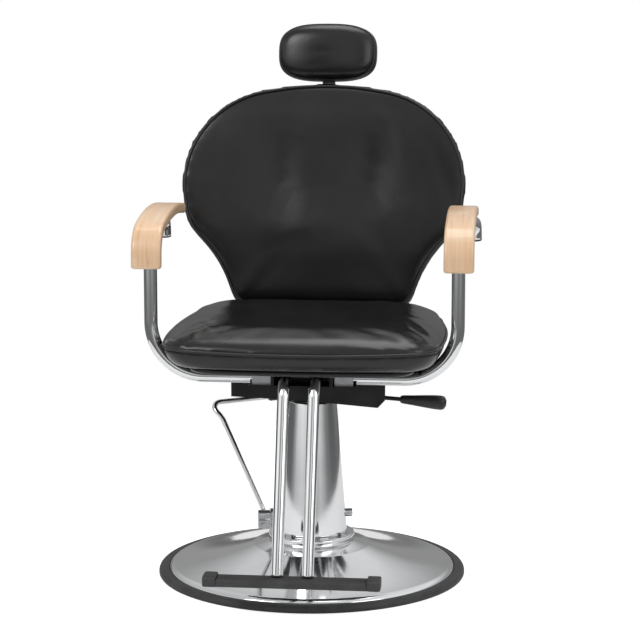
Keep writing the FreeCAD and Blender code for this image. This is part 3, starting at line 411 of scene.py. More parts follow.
class Shader:
    """A node material with one Principled shader, and short calls for the nodes that feed it."""

    def __init__(self, name):
        self.material = bpy.data.materials.new(name)
        self.material.use_nodes = True
        self.tree = self.material.node_tree
        self.main = self.tree.nodes["Principled BSDF"]

    def node(self, kind, **settings):
        made = self.tree.nodes.new(kind)
        for key, value in settings.items():
            setattr(made, key, value)
        return made

    def join(self, output, target):
        self.tree.links.new(output, target)
        return self

    def place(self, scale=(1, 1, 1), attribute=None):
        """Object coordinates, or a named attribute, stretched by the scale."""
        if attribute:
            source = self.node("ShaderNodeAttribute", attribute_name=attribute).outputs["Vector"]
        else:
            source = self.node("ShaderNodeTexCoord").outputs["Object"]
        mapping = self.node("ShaderNodeMapping")
        mapping.inputs["Scale"].default_value = scale
        self.join(source, mapping.inputs["Vector"])
        return mapping.outputs["Vector"]

    def noise(self, where, scale, detail=3.0, rough=0.5):
        made = self.node("ShaderNodeTexNoise")
        made.inputs["Scale"].default_value = scale
        made.inputs["Detail"].default_value = detail
        made.inputs["Roughness"].default_value = rough
        self.join(where, made.inputs["Vector"])
        return made.outputs["Fac"]

    def cells(self, where, scale, feature="F1"):
        made = self.node("ShaderNodeTexVoronoi", feature=feature)
        made.inputs["Scale"].default_value = scale
        self.join(where, made.inputs["Vector"])
        return made.outputs["Distance"]

    def ramp(self, value, stops):
        """Colours at places along a value."""
        made = self.node("ShaderNodeValToRGB")
        made.color_ramp.interpolation = "EASE"
        points = made.color_ramp.elements
        while len(points) < len(stops):
            points.new(0.5)
        for point, (at, colour) in zip(points, stops):
            point.position = at
            point.color = tuple(colour) + (1,)
        self.join(value, made.inputs["Fac"])
        return made.outputs["Color"]

    def spread(self, value, low, high):
        """A value between 0 and 1 spread from low to high."""
        made = self.node("ShaderNodeMapRange")
        made.inputs["To Min"].default_value = low
        made.inputs["To Max"].default_value = high
        self.join(value, made.inputs["Value"])
        return made.outputs["Result"]

    def total(self, first, second, share):
        """The first value and a share of the second."""
        made = self.node("ShaderNodeMath", operation="MULTIPLY_ADD")
        self.join(second, made.inputs[0])
        made.inputs[1].default_value = share
        self.join(first, made.inputs[2])
        return made.outputs["Value"]

    def bump(self, height, depth, strength):
        made = self.node("ShaderNodeBump")
        made.inputs["Strength"].default_value = strength
        made.inputs["Distance"].default_value = depth
        self.join(height, made.inputs["Height"])
        self.join(made.outputs["Normal"], self.main.inputs["Normal"])
        return self

    def tones(self, value, low, first, high, second):
        """Base colour that goes from the first colour to the second between two places along a value."""
        return self.feed("Base Color", self.ramp(value, [(low, first), (high, second)]))

    def feed(self, socket, value):
        if isinstance(value, bpy.types.NodeSocket):
            self.join(value, self.main.inputs[socket])
        else:
            self.main.inputs[socket].default_value = value
        return self


def mixed(colour, other, share):
    return tuple((1 - share) * a + share * b for a, b in zip(colour, other))


def vinyl_material():
    """Black satin vinyl: a pebbled grain of fine cells, faint unevenness in colour and gloss, and slow waves."""
    black = tuple(colours().vinyl)
    shader = Shader("satin_vinyl")
    where = shader.place()
    cloud = shader.noise(where, 9, 4)
    grain = shader.cells(where, 1100)
    fine = shader.noise(where, 2300, 2)
    shader.tones(cloud, 0.3, black, 0.75, mixed(black, (0.02, 0.02, 0.021), 0.25))
    shader.feed("Roughness", shader.spread(shader.total(cloud, fine, 0.2), 0.17, 0.30))
    shader.feed("Specular IOR Level", 0.45)
    shader.feed("Coat Weight", 0.08).feed("Coat Roughness", 0.28)
    height = shader.total(grain, fine, 0.35)
    shader.bump(height, 0.0002, 0.25)
    return shader.material


def piping_material():
    """The same vinyl pulled tight over a cord: smoother and a little glossier."""
    black = tuple(colours().vinyl)
    shader = Shader("piping_vinyl")
    where = shader.place()
    fine = shader.noise(where, 1500, 3)
    shader.tones(fine, 0.3, black, 0.8, mixed(black, (0.05, 0.05, 0.05), 0.4))
    shader.feed("Roughness", shader.spread(fine, 0.26, 0.40))
    shader.feed("Specular IOR Level", 0.5)
    shader.bump(fine, 0.0001, 0.4)
    return shader.material


def chrome_material(name, wavy=0.0):
    """Chrome plate: near-mirror metal with faint cloudiness, fine wiping marks and, on sheet, slow hollows."""
    shader = Shader(name)
    where = shader.place()
    cloud = shader.noise(where, 14, 3)
    marks = shader.noise(shader.place((4, 4, 60)), 40, 2)
    tone = tuple(colours().chrome)
    shader.tones(cloud, 0.25, mixed(tone, (0.6, 0.6, 0.61), 0.25), 0.7, tone)
    shader.feed("Metallic", 1.0)
    shader.feed("Roughness", shader.spread(shader.total(cloud, marks, 0.3), 0.035, 0.11))
    if wavy:
        shader.bump(shader.noise(where, 7, 2), wavy, 0.5)
    else:
        shader.bump(marks, 0.00003, 0.3)
    return shader.material


def steel_material(name, tone, low, high):
    """Zinc plated or ground steel: a soft lay of fine lines and a mottled sheen."""
    shader = Shader(name)
    lines = shader.noise(shader.place((1, 30, 1)), 160, 3)
    mottle = shader.noise(shader.place(), 60, 4)
    shader.tones(mottle, 0.3, mixed(tone, (0.2, 0.2, 0.2), 0.25), 0.7, tone)
    shader.feed("Metallic", 1.0)
    shader.feed("Roughness", shader.spread(lines, low, high))
    shader.bump(lines, 0.00005, 0.4)
    return shader.material


def coat_material():
    """Black powder coat: orange-peel skin, slightly greyer where the film is thin."""
    black = tuple(colours().coat)
    shader = Shader("powder_coat")
    where = shader.place()
    peel = shader.cells(where, 520, "SMOOTH_F1")
    cloud = shader.noise(where, 18, 3)
    shader.tones(cloud, 0.3, black, 0.8, mixed(black, (0.06, 0.06, 0.06), 0.3))
    shader.feed("Roughness", shader.spread(cloud, 0.36, 0.5)).feed("Specular IOR Level", 0.3)
    shader.bump(peel, 0.00025, 0.4)
    return shader.material


def rubber_material(name, ribs=0):
    """Black rubber: matt with a dusty mottle; on a tread, fine lengthwise ribs."""
    tone = tuple(colours().rubber)
    shader = Shader(name)
    where = shader.place()
    dust = shader.noise(where, 35, 5)
    grit = shader.noise(where, 900, 2)
    shader.tones(dust, 0.3, tone, 0.8, mixed(tone, (0.09, 0.09, 0.09), 0.45))
    shader.feed("Roughness", shader.spread(dust, 0.48, 0.68))
    height = grit
    if ribs:
        wave = shader.node("ShaderNodeTexWave", bands_direction="Y")
        wave.inputs["Scale"].default_value = ribs
        shader.join(where, wave.inputs["Vector"])
        height = shader.total(grit, wave.outputs["Fac"], 4.0)
    shader.bump(height, 0.0003, 0.5)
    return shader.material


def plastic_material():
    """Moulded black plastic: spark-eroded texture and a soft gloss."""
    shader = Shader("moulded_plastic")
    where = shader.place()
    texture = shader.noise(where, 1300, 3)
    cloud = shader.noise(where, 25, 3)
    shader.tones(cloud, 0.3, (0.012, 0.012, 0.013), 0.8, (0.024, 0.024, 0.025))
    shader.feed("Roughness", shader.spread(texture, 0.30, 0.46))
    shader.bump(texture, 0.00015, 0.4)
    return shader.material


def bronze_material():
    """Sintered bronze of the bushes, mottled."""
    shader = Shader("bearing_bronze")
    mottle = shader.noise(shader.place(), 80, 4)
    shader.tones(mottle, 0.3, (0.35, 0.22, 0.09), 0.7, (0.55, 0.38, 0.18))
    shader.feed("Metallic", 1.0).feed("Roughness", shader.spread(mottle, 0.25, 0.45))
    return shader.material


def ply_material():
    """Plywood edge and face: thin brown layers across its height and faint figure along it."""
    shader = Shader("plywood")
    layers = shader.node("ShaderNodeTexWave", bands_direction="Z")
    layers.inputs["Scale"].default_value = 90
    shader.join(shader.place(), layers.inputs["Vector"])
    figure = shader.noise(shader.place((3, 40, 3)), 6, 4)
    both = shader.total(figure, layers.outputs["Fac"], 0.3)
    shader.tones(both, 0.35, (0.36, 0.22, 0.11), 0.8, (0.62, 0.45, 0.27))
    shader.feed("Roughness", 0.7)
    return shader.material


def wood_material():
    """Pale varnished beech. The attribute holds each point's place in the straight plank before it was bent, so the
    grain runs along the armrest: long figure, short flecks and blocks of slightly different tone."""
    tone, dark = tuple(colours().wood), tuple(colours().wood_dark)
    shader = Shader("varnished_beech")
    long_grain = shader.noise(shader.place((60, 60, 3.2), "plank"), 3.0, 6, 0.6)
    flecks = shader.noise(shader.place((500, 500, 60), "plank"), 1.6, 3)
    blocks = shader.node("ShaderNodeTexVoronoi", feature="F1", distance="CHEBYCHEV")
    blocks.inputs["Scale"].default_value = 1.0
    blocks.inputs["Randomness"].default_value = 0.6
    shader.join(shader.place((9, 4, 11), "plank"), blocks.inputs["Vector"])
    block_tone = shader.node("ShaderNodeSeparateColor")
    shader.join(blocks.outputs["Color"], block_tone.inputs["Color"])
    value = shader.total(long_grain, flecks, 0.22)
    value = shader.total(value, block_tone.outputs["Red"], 0.30)
    pale = mixed(tone, (0.95, 0.79, 0.60), 0.6)
    shader.feed("Base Color", shader.ramp(value, [(0.42, mixed(tone, dark, 0.55)), (0.60, tone), (0.98, pale)]))
    shader.feed("Roughness", shader.spread(flecks, 0.26, 0.38))
    shader.feed("Coat Weight", 0.35).feed("Coat Roughness", 0.12)
    shader.bump(flecks, 0.00012, 0.35)
    return shader.material


FINISHES = {
    "satin_vinyl": vinyl_material,
    "piping_vinyl": piping_material,
    "bright_chrome": lambda: chrome_material("bright_chrome"),
    "sheet_chrome": lambda: chrome_material("sheet_chrome", 0.0012),
    "zinc_plate": lambda: steel_material("zinc_plate", (0.55, 0.56, 0.58), 0.22, 0.42),
    "ground_steel": lambda: steel_material("ground_steel", (0.62, 0.63, 0.65), 0.14, 0.30),
    "powder_coat": coat_material,
    "floor_rubber": lambda: rubber_material("floor_rubber"),
    "tread_rubber": lambda: rubber_material("tread_rubber", 45),
    "moulded_plastic": plastic_material,
    "bearing_bronze": bronze_material,
    "plywood": ply_material,
    "varnished_beech": wood_material,
}


def finish(name):
    """The material of that name, made the first time it is asked for."""
    return bpy.data.materials.get(name) or FINISHES[name]()


# Seat


SEAT_MIDDLE = np.array([0, -0.048])
SEAT_UNDERSIDE = 0.4402


def seat_outline(count=260):
    """Plan of the seat: the arcs of its front, corners, sides and rear, joined and eased."""
    half = [((0, -273), (100, -271), (195, -262)), ((195, -262), (243, -240), (258, -190)),
            ((258, -190), (264, -50), (248, 80)), ((248, 80), (226, 148), (160, 173)),
            ((160, 173), (80, 176), (0, 177))]
    right = np.vstack([three_point_arc(*arc) for arc in half])
    both = np.vstack([right, right[::-1] * (-1, 1)])
    return softened(evenly(both, count), 10) / 1000


def make_seat_underside():
    """The board's outline with its lower edge rounded over a quarter circle, covered in the seat's vinyl, which is
    turned under and closed by a flat bottom."""
    outline = seat_outline(240)
    board = np.array([0.82, 0.86])
    edge, low, high = 0.005, 0.4297, 0.4399
    rim = SEAT_MIDDLE + (outline - SEAT_MIDDLE) * board
    way = (outline - SEAT_MIDDLE) / np.linalg.norm(outline - SEAT_MIDDLE, axis=1, keepdims=True)
    rows = []

    def row(flat, height):
        rows.append(np.column_stack([flat, np.full(len(flat), height)]))

    for inward in (0.30, 0.08, 0.03):
        row(SEAT_MIDDLE + (outline - SEAT_MIDDLE) * board * (1 - inward), low)
    for turn in np.linspace(0, math.pi / 2, 7):
        row(rim + way * (math.sin(turn) - 1) * edge, low + edge * (1 - math.cos(turn)))
    for inward in (0.0, 0.03, 0.2):
        row(SEAT_MIDDLE + (rim - SEAT_MIDDLE) * (1 - inward), high)
    put(grid_piece("seat_underside", np.array(rows)), "seat", "satin_vinyl", "black_vinyl", "seat_board")


def seat_seam_height(outline):
    """The piping is lowest in the middle of the front, and rises a little toward the corners and the rear."""
    corner_rise = 0.006 * (outline[:, 0] / 0.25) ** 2
    rear_rise = 0.010 * np.clip((outline[:, 1] + 0.2) / 0.38, 0, 1)
    return sizes().seat_seam + corner_rise + rear_rise


def make_seat_cushion():
    """The outline drawn in toward its middle by a factor, at a height for each factor: a flat underside, a boxing
    that bulges out to the piping, and a crown that follows a rounded power curve and rises toward the rear."""
    settings = sizes()
    outline = seat_outline()
    seam = seat_seam_height(outline)
    rows = []

    def row(factor, height):
        flat = SEAT_MIDDLE + (outline - SEAT_MIDDLE) * factor
        rows.append(np.column_stack([flat, np.broadcast_to(height, len(flat))]))

    for factor in (0.3, 0.55, 0.75, 0.86):
        row(factor, SEAT_UNDERSIDE)
    for turn in np.linspace(0.12, 1, 8) * math.pi / 2:
        row(0.875 + 0.118 * math.sin(turn), SEAT_UNDERSIDE + (seam - SEAT_UNDERSIDE) * (1 - math.cos(turn)))
    crown = settings.seat_crown - 0.004 + 0.012 * np.clip((outline[:, 1] + 0.27) / 0.45, 0, 1)
    middle = settings.seat_crown + 0.002
    for inward in (0.990, 0.975, 0.95, 0.92, 0.88, 0.83, 0.76, 0.66, 0.52, 0.36, 0.18):
        rise = (1 - inward ** 7) ** (1 / 2.15)
        top = crown + (middle - crown) * (1 - inward) ** 0.8
        row(inward, seam + (top - seam) * rise)
    piece = grid_piece("seat_cover", np.array(rows))
    seam_line = np.column_stack([SEAT_MIDDLE + (outline - SEAT_MIDDLE) * 0.994, seam])

    def held(points):
        gap = np.sqrt(((points[:, None, :2] - outline[None, ::3]) ** 2).sum(-1))
        nearest = gap.argmin(1)
        height_gap = np.abs(points[:, 2] - seam[::3][nearest])
        sewn = near(np.hypot(height_gap, np.maximum(gap.min(1) - 0.004, 0)), 0.003, 0.008)
        return np.maximum(sewn, near(points[:, 2] - SEAT_UNDERSIDE, 0.001, 0.005))

    stuffed(piece, held, settings.puff, give=0.5)
    points = vertex_array(piece)
    # Slow waves over the top face, and shallow pulls at the two front corners
    lift = np.clip((points[:, 2] - 0.478) / 0.02, 0, 1)
    points[:, 2] += 0.0012 * lift * waves(points, 3, 0.16)
    corner = np.exp(-(((np.abs(points[:, 0]) - 0.20) / 0.05) ** 2 + ((points[:, 1] + 0.17) / 0.06) ** 2))
    points[:, 2] -= lift * corner * 0.0022 * (1 + np.sin(points[:, 0] * 160 + points[:, 1] * 90))
    set_vertices(piece, points)
    relaxed(piece, 5)
    subdivided(piece)
    put(piece, "seat", "satin_vinyl", "black_vinyl", "seat_cushion")
    radius = settings.seam_radius
    sewn_piping("seat_piping", piece, seam_line, radius, radius * 0.55, (0, 0, 1), 14, "seat")


# Back


BACK_OUTLINE = (((0, 70), (90, 70), (157, 73)), ((157, 73), (176, 79), (186, 97)), ((186, 97), (206, 150), (262, 222)),
                ((262, 222), (278, 246), (286, 285)), ((286, 285), (289, 345), (263, 424)),
                ((263, 424), (206, 486), (112, 522)), ((112, 522), (58, 530), (0, 532)))
BACK_MIDDLE = np.array([0, 230])
BACK_ACROSS = (0, 1, 0.16)


def back_outline(count=300):
    """The back seen square on, as half width and height over the hinge, in millimetres."""
    right = np.vstack([three_point_arc(*arc) for arc in BACK_OUTLINE])
    both = np.vstack([right, right[::-1] * (-1, 1)])
    return softened(evenly(both, count), 8)


def back_front(x, z):
    """How far the front face stands forward: near flat across, swelling at the lumbar, hollow beside the spine."""
    level = np.interp(z, [60, 100, 187, 230, 300, 400, 470, 532], [34, 43, 48, 47, 42, 37, 33, 24])
    swell = 9 * np.exp(-((x / 120) ** 2) - ((z - 215) / 70) ** 2)
    hollow = 4.5 * np.exp(-(((np.abs(x) - 95) / 42) ** 2) - ((z - 350) / 95) ** 2)
    return level + swell - hollow + 17 * (np.abs(x) / 290) ** 2.2


def back_rear(x, z):
    """How far the rear face stands back: rounded from bottom to top, and drawn forward at the wings."""
    level = np.interp(z, [60, 120, 300, 450, 532], [12, 19, 20, 18, 10])
    return level - 48 * (np.abs(x) / 290) ** 2


def back_edge(x):
    """How far forward the wings' middle line lies, by the square of the distance from the middle."""
    return 48 * (np.abs(x) / 290) ** 2 + 4


def back_share(factor):
    """How much of a face's depth is reached where the outline is drawn in by a factor."""
    return math.sqrt(max(0.0, 1 - factor ** 14))


def make_back_cushion():
    """The outline drawn in toward its middle; the front and rear faces meet at the wings' middle line over a rounded
    edge, by the share (1 - r^14)^(1/2)."""
    settings = sizes()
    outline = back_outline()
    rows = []

    def row(factor, front=True):
        x, z = (BACK_MIDDLE + (outline - BACK_MIDDLE) * factor).T
        edge = back_edge(x)
        depth = -edge + (edge - (back_front(x, z) if front else -back_rear(x, z))) * back_share(factor)
        rows.append(np.column_stack([x, depth, z]))

    for factor in (0.15, 0.35, 0.55, 0.72, 0.84, 0.91, 0.95, 0.975, 0.99, 0.998):
        row(factor, front=False)
    row(1.0)
    for factor in (0.998, 0.992, 0.982, 0.968, 0.95, 0.92, 0.88, 0.82, 0.74, 0.64, 0.52, 0.40, 0.28, 0.16, 0.07):
        row(factor)
    piece = grid_piece("back_cover", leaned(np.array(rows) / 1000))
    row(0.974)
    seam_line = leaned(rows[-1] / 1000)

    def held(points):
        sewn = near(gap_to(points, seam_line[::2]), 0.004, 0.009)
        rear = near(-(behind_hinge(points) + 0.048 * (np.abs(points[:, 0]) / 0.29) ** 2), -0.004, 0.002)
        return np.maximum(sewn, rear)

    stuffed(piece, held, settings.puff, 3.0, give=0.3)
    points = vertex_array(piece)
    front = points[:, 1] < HINGE_Y + (points[:, 2] - HINGE_Z) * math.tan(LEAN) - 0.01
    points[:, 1] += np.where(front, 0.0011, 0) * waves(points, 11, 0.17)
    set_vertices(piece, points)
    relaxed(piece, 8)
    subdivided(piece)
    put(piece, "back", "satin_vinyl", "black_vinyl", "back_cushion")
    radius = settings.seam_radius
    sewn_piping("back_piping", piece, seam_line, radius, radius * 0.5, BACK_ACROSS, 14, "back")


# Headrest


def make_headrest_pad():
    """A rounded block. Its outline is a power curve |x/a|^3.2 + |z/b|^2.9 = 1, drawn in toward the front face by a
    power curve of the depth, with a seam round the front panel."""
    half, tall, low = 0.1015, 0.0585, 0.5375
    angle = np.linspace(0, 2 * math.pi, 200, endpoint=False)
    c, s = np.cos(angle), np.sin(angle)
    size = (np.abs(c) ** 3.2 + np.abs(s) ** 2.9) ** (-1 / 3.05)
    outline = evenly(np.column_stack([size * c * half, size * s * tall]), 180)
    rear, depth = 0.0368, 0.061
    rows = []

    def row(factor, part):
        bow = 0.006 * (outline[:, 0] / half) ** 2 * (part > 0.5)
        rows.append(np.column_stack([outline[:, 0] * factor, rear - depth * part + bow * factor,
                                     low + tall + outline[:, 1] * (factor - 0.10 * (1 - factor))]))

    for factor in (0.2, 0.5, 0.75, 0.87):
        row(factor, 0.0)
    for part, factor in ((0.03, 0.925), (0.10, 0.96), (0.22, 0.988), (0.40, 1.0), (0.55, 0.995), (0.66, 0.982),
                         (0.75, 0.955), (0.83, 0.91), (0.895, 0.84), (0.94, 0.75), (0.97, 0.64), (0.988, 0.5),
                         (0.997, 0.34), (1.0, 0.17)):
        row(factor, part)
    piece = grid_piece("headrest_cover", leaned(np.array(rows)))
    drawn_in = 0.975
    seam_line = leaned(np.column_stack([outline[:, 0] * drawn_in, np.full(len(outline), rear - depth * 0.69),
                                        low + tall + outline[:, 1] * drawn_in]))

    def held(points):
        return np.maximum(near(gap_to(points, seam_line[::2]), 0.0025, 0.006),
                          near(rear - behind_hinge(points), 0.001, 0.006))

    stuffed(piece, held, sizes().puff * 0.55, 3.5, 0.0035)
    relaxed(piece, 2)
    subdivided(piece)
    put(piece, "headrest", "satin_vinyl", "black_vinyl", "headrest_pad")
    sewn_piping("headrest_seam", piece, seam_line, 0.0014, 0.0002, BACK_ACROSS, 10, "headrest")


# Armrests and tubes


ARM_MIDDLE = 0.2895
BOW_MIDDLE = np.array([0.010, 0.080])


def plank_path():
    """Middle line of the bent plank: straight up from its front end, round the front corner, then along the bow,
    whose angle is counted from straight up, forward negative."""
    front_y, lower_end, radius, bow_radius = 0.062 - 0.193, 0.618, 0.052, 0.630
    ahead = BOW_MIDDLE[0] - front_y
    corner = np.array([front_y, BOW_MIDDLE[1] + math.sqrt((bow_radius - radius) ** 2 - ahead ** 2)])
    join = math.atan2(ahead, corner[1] - BOW_MIDDLE[1])
    up = np.column_stack([np.full(12, front_y - radius), np.linspace(lower_end, corner[1], 12)])
    turn = np.linspace(math.pi, math.pi / 2 + join, 40)[:, None]
    angle = np.linspace(-join, math.asin(0.093 / bow_radius), 90)
    bow = BOW_MIDDLE + bow_radius * np.stack([np.sin(angle), np.cos(angle)], -1)
    return evenly(np.vstack([up, corner + radius * np.hstack([np.cos(turn), np.sin(turn)]), bow]), 150, closed=False)


def make_armrests():
    """A plank carried along its middle line: the section is an oblong with quarter-round corners, and both ends draw
    in over the same quarter round."""
    settings = sizes()
    path = plank_path()
    way = tangents(path)
    out = np.column_stack([-way[:, 1], way[:, 0]])
    length = np.concatenate([[0], np.cumsum(np.linalg.norm(np.diff(path, axis=0), axis=1))])
    total = length[-1]
    edge = settings.wood_edge
    keep = np.concatenate([np.linspace(0, edge, 7)[:-1], np.linspace(edge, total - edge, 140),
                           total - np.linspace(edge, 0, 7)[1:]])
    path = np.column_stack([np.interp(keep, length, path[:, axis]) for axis in (0, 1)])
    out = np.column_stack([np.interp(keep, length, out[:, axis]) for axis in (0, 1)])
    out /= np.linalg.norm(out, axis=1, keepdims=True)
    far = np.minimum(keep, total - keep)
    inset = edge - np.sqrt(np.maximum(edge ** 2 - np.maximum(edge - far, 0) ** 2, 0))
    width, thick = settings.wood_width / 2, settings.wood_thick / 2
    corner = np.linspace(0, math.pi / 2, 9)
    quarter = np.stack([np.cos(corner), np.sin(corner)], -1) * edge
    centre = np.array([width - edge, thick - edge])
    section = np.vstack([centre + quarter, centre * (-1, 1) + quarter[:, ::-1] * (-1, 1),
                         -centre - quarter, centre * (1, -1) + quarter[:, ::-1] * (1, -1)])
    section = evenly(section, 96)
    shrink = 1 - inset[:, None] / np.array([width, thick])[None]
    across = section[None, :, 0] * shrink[:, :1]
    through = section[None, :, 1] * shrink[:, 1:]
    straight = np.stack([across, through, np.broadcast_to(keep[:, None], across.shape)], -1).reshape(-1, 3)
    straight = np.vstack([straight, [[0, 0, 0], [0, 0, total]]])
    for side, sign in (("left", -1), ("right", 1)):
        grid = np.stack([sign * ARM_MIDDLE + across, path[:, :1] + out[:, :1] * through,
                         path[:, 1:] + out[:, 1:] * through], -1)
        plank = straight + (sign * 3.7, 0.4, sign * 1.3)
        piece = new_piece(f"armrest_wood_{side}", *shell_of(grid), plank=plank)
        put(piece, "seat", "varnished_beech", "pale_wood", f"armrest_{side}")


def arm_path(sign):
    """The arm tube's run: out from under the seat, up the post, back under the armrest and down at its rear."""
    post, line, level = 0.288, 0.150, 0.4135
    arc, arc_z, splay = 0.6072, 0.080, math.tan(math.radians(4.5))
    front, rear = math.asin(0.115 / arc), math.asin(0.090 / arc)
    front_z, rear_z = arc_z + arc * math.cos(front), arc_z + arc * math.cos(rear)
    corner_z = front_z - (line - 0.105) * math.tan(front)
    heel_z = rear_z - 0.034 * math.tan(rear)
    across = rear_z + 0.100 * math.tan(rear) - front_z - 0.105 * math.tan(front)
    crest_y = across / (math.tan(front) + math.tan(rear))
    crest_z = front_z + (crest_y + 0.105) * math.tan(front)

    def along(y, z):
        return (sign * (post + (y + line) * splay), y, z)

    points = [(sign * 0.060, -line, level), (sign * post, -line, level), along(-line, corner_z),
              along(crest_y, crest_z), along(0.134, heel_z), along(0.139, heel_z - 0.030)]
    return rounded_path(points, [0.100, 0.042, arc, 0.024], 0.0035)


def make_arm_tubes():
    """A round tube carried along each arm tube's run."""
    for side, sign in (("left", -1), ("right", 1)):
        grid = tube_grid(arm_path(sign), sizes().arm_tube_radius, (sign, -1, 1), 44)
        piece = grid_piece(f"arm_tube_chrome_{side}", grid)
        put(piece, "seat", "bright_chrome", "chrome", f"arm_tube_{side}")


def oblong(angle, power):
    """A rounded oblong by the power curve |x|^n + |y|^n = 1."""
    c, s = np.cos(angle), np.sin(angle)
    size = (np.abs(c) ** power + np.abs(s) ** power) ** (-1 / power)
    return size * c, size * s


def make_footrest():
    """Two bent tubes, a moulded bar whose section is a rounded oblong with a ribbed upper face, and its end caps."""
    for side, sign in (("left", -1), ("right", 1)):
        x = sign * 0.028
        path = rounded_path([(x, -0.125, 0.416), (x, -0.226, 0.416), (x, -0.337, 0.080)], [0.036], 0.003)
        piece = grid_piece(f"footrest_chrome_{side}", tube_grid(path, sizes().foot_tube_radius, (1, 0, 0), 40))
        put(piece, "seat", "bright_chrome", "chrome", f"footrest_tube_{side}")
    bar_y, half_depth, rib_pitch = -0.345, 0.021, 0.0035
    angle = np.linspace(0, 2 * math.pi, 120, endpoint=False)
    across, up = oblong(angle, 5)
    top = np.sin(angle) > 0.55
    ribs = np.where(top, 0.0007 * (0.5 + 0.5 * np.cos(across * half_depth / rib_pitch * 2 * math.pi)), 0)
    y = bar_y + across * half_depth
    z = 0.072 + up * 0.008 - ribs
    x = np.linspace(-0.1372, 0.1372, 60)
    grid = np.stack(np.broadcast_arrays(x[:, None], y[None], z[None]), -1)
    put(grid_piece("footrest_tread", grid), "seat", "tread_rubber", "rubber_black", "footrest_bar")
    along = np.array([0, 0.0006, 0.0025, 0.006, 0.012, 0.018, 0.0215, 0.0234, 0.024])
    grow = np.array([0.90, 0.955, 0.99, 1, 1, 1, 0.985, 0.94, 0.86])
    across, up = oblong(angle, 4.2)
    y = bar_y + grow[:, None] * across[None] * 0.0225
    z = 0.074 + grow[:, None] * up[None] * 0.0108
    vertices, faces = [], []
    for sign in (-1, 1):
        x = np.broadcast_to(sign * (0.137 + along)[:, None], y.shape)
        points, more = shell_of(np.stack([x, y, z], -1), first=sum(len(part) for part in vertices))
        vertices.append(points)
        faces += more
    caps = new_piece("footrest_end_rubber", np.vstack(vertices), faces)
    put(caps, "seat", "floor_rubber", "rubber_black", "footrest_caps")


# Base and column


def arc_profile(first, last, radius, count=40):
    """The shorter arc between two profile points; a positive radius bulges to the right of the way."""
    first, last = np.array(first, float), np.array(last, float)
    across = last - first
    height = math.sqrt(radius ** 2 - (across @ across) / 4)
    side = np.array([-across[1], across[0]]) / np.linalg.norm(across) * math.copysign(height, radius)
    centre = (first + last) / 2 + side
    start = math.atan2(*(first - centre)[::-1])
    sweep = (math.atan2(*(last - centre)[::-1]) - start + math.pi) % (2 * math.pi) - math.pi
    angle = start + np.linspace(0, sweep, count)
    return centre + abs(radius) * np.stack([np.cos(angle), np.sin(angle)], -1)


def make_base():
    """Turned pieces: the trumpet of the dome, the rubber ring and the flange, each a closed profile round Z."""
    dome = np.vstack([
        [(275, 6), (279.5, 6)],
        arc_profile((279.5, 12.5), (268, 20), 14, 10),
        arc_profile((268, 20), (114, 57), -700, 70)[1:],
        arc_profile((114, 57), (80, 66), -160, 20)[1:],
        [(60, 66), (60, 63.5)],
        arc_profile((79, 63.5), (113, 54.5), 160, 12),
        arc_profile((113, 54.5), (267, 17.5), 700, 30)[1:],
    ])
    turned_piece("dome_chrome", dome, 288, "base", "sheet_chrome", "chrome", "base_dome")
    ring = np.vstack([
        [(276, 0)],
        arc_profile((297, 0), (300, 3), 4, 8),
        arc_profile((300, 6), (293, 14), 9, 12),
        arc_profile((283, 14), (279.5, 11.5), 4, 8),
        [(279.5, 6), (276, 6)],
    ])
    turned_piece("floor_ring", ring, 288, "base", "floor_rubber", "rubber_black", "rim_trim")
    flange = np.vstack([[(45, 66), (84, 66)], arc_profile((84, 76.5), (80.5, 80), 3.5, 10), [(45, 80)]])
    turned_piece("flange_chrome", flange, 192, "base", "bright_chrome", "chrome", "column_flange")


def make_column():
    """The tapered cover: a thin cone with a rolled top edge."""
    outer = np.linspace((69.5, 80), (48.5, 341), 40)
    profile = np.vstack([[(67.5, 80)], outer, arc_profile((48.5, 341), (46.5, 343), 2.2, 6)[1:], [(46.0, 341.5)],
                         [(67.2, 84)]])
    turned_piece("column_chrome", profile, 240, "base", "sheet_chrome", "chrome", "column_cover")


def make_foot_lever():
    """The bent rod from the shaft's clamp to the foot bar, and the ribbed sleeve on its end."""
    points = [(-0.095, 0.006, 0.1235), (-0.1645, 0.0914, 0.292), (-0.1895, 0.1106, 0.3195), (0.042, 0.196, 0.3195)]
    path = turn_about_z(rounded_path(points, [0.045, 0.016], 0.003), PUMP_TURN)
    piece = grid_piece("lever_rod_chrome", tube_grid(path, sizes().lever_rod_radius, (0.1, 1, 0.3), 28))
    put(piece, "foot_lever", "bright_chrome", "chrome", "lever_rod")
    corner, end = np.array(points[2:])
    way = (end - corner) / np.linalg.norm(end - corner)
    sleeve, past_end, rounding, inner, outer, rib_pitch = 0.116, 0.004, 0.004, 0.0055, 0.0084, 0.0058
    along = np.linspace(0, sleeve, 140)
    ribs = 0.0006 * np.cos(along / rib_pitch * 2 * math.pi)
    edge = np.minimum(along, sleeve - along)
    round_end = np.sqrt(np.clip(1 - (1 - np.minimum(edge / rounding, 1)) ** 2, 0, 1))
    radius = inner + (outer - inner + ribs) * round_end
    path = turn_about_z(end + way * (along[:, None] + past_end - sleeve), PUMP_TURN)
    piece = grid_piece("foot_sleeve", tube_grid(path, radius, (0, 0, 1), 40))
    put(piece, "foot_lever", "floor_rubber", "rubber_black", "foot_grip")


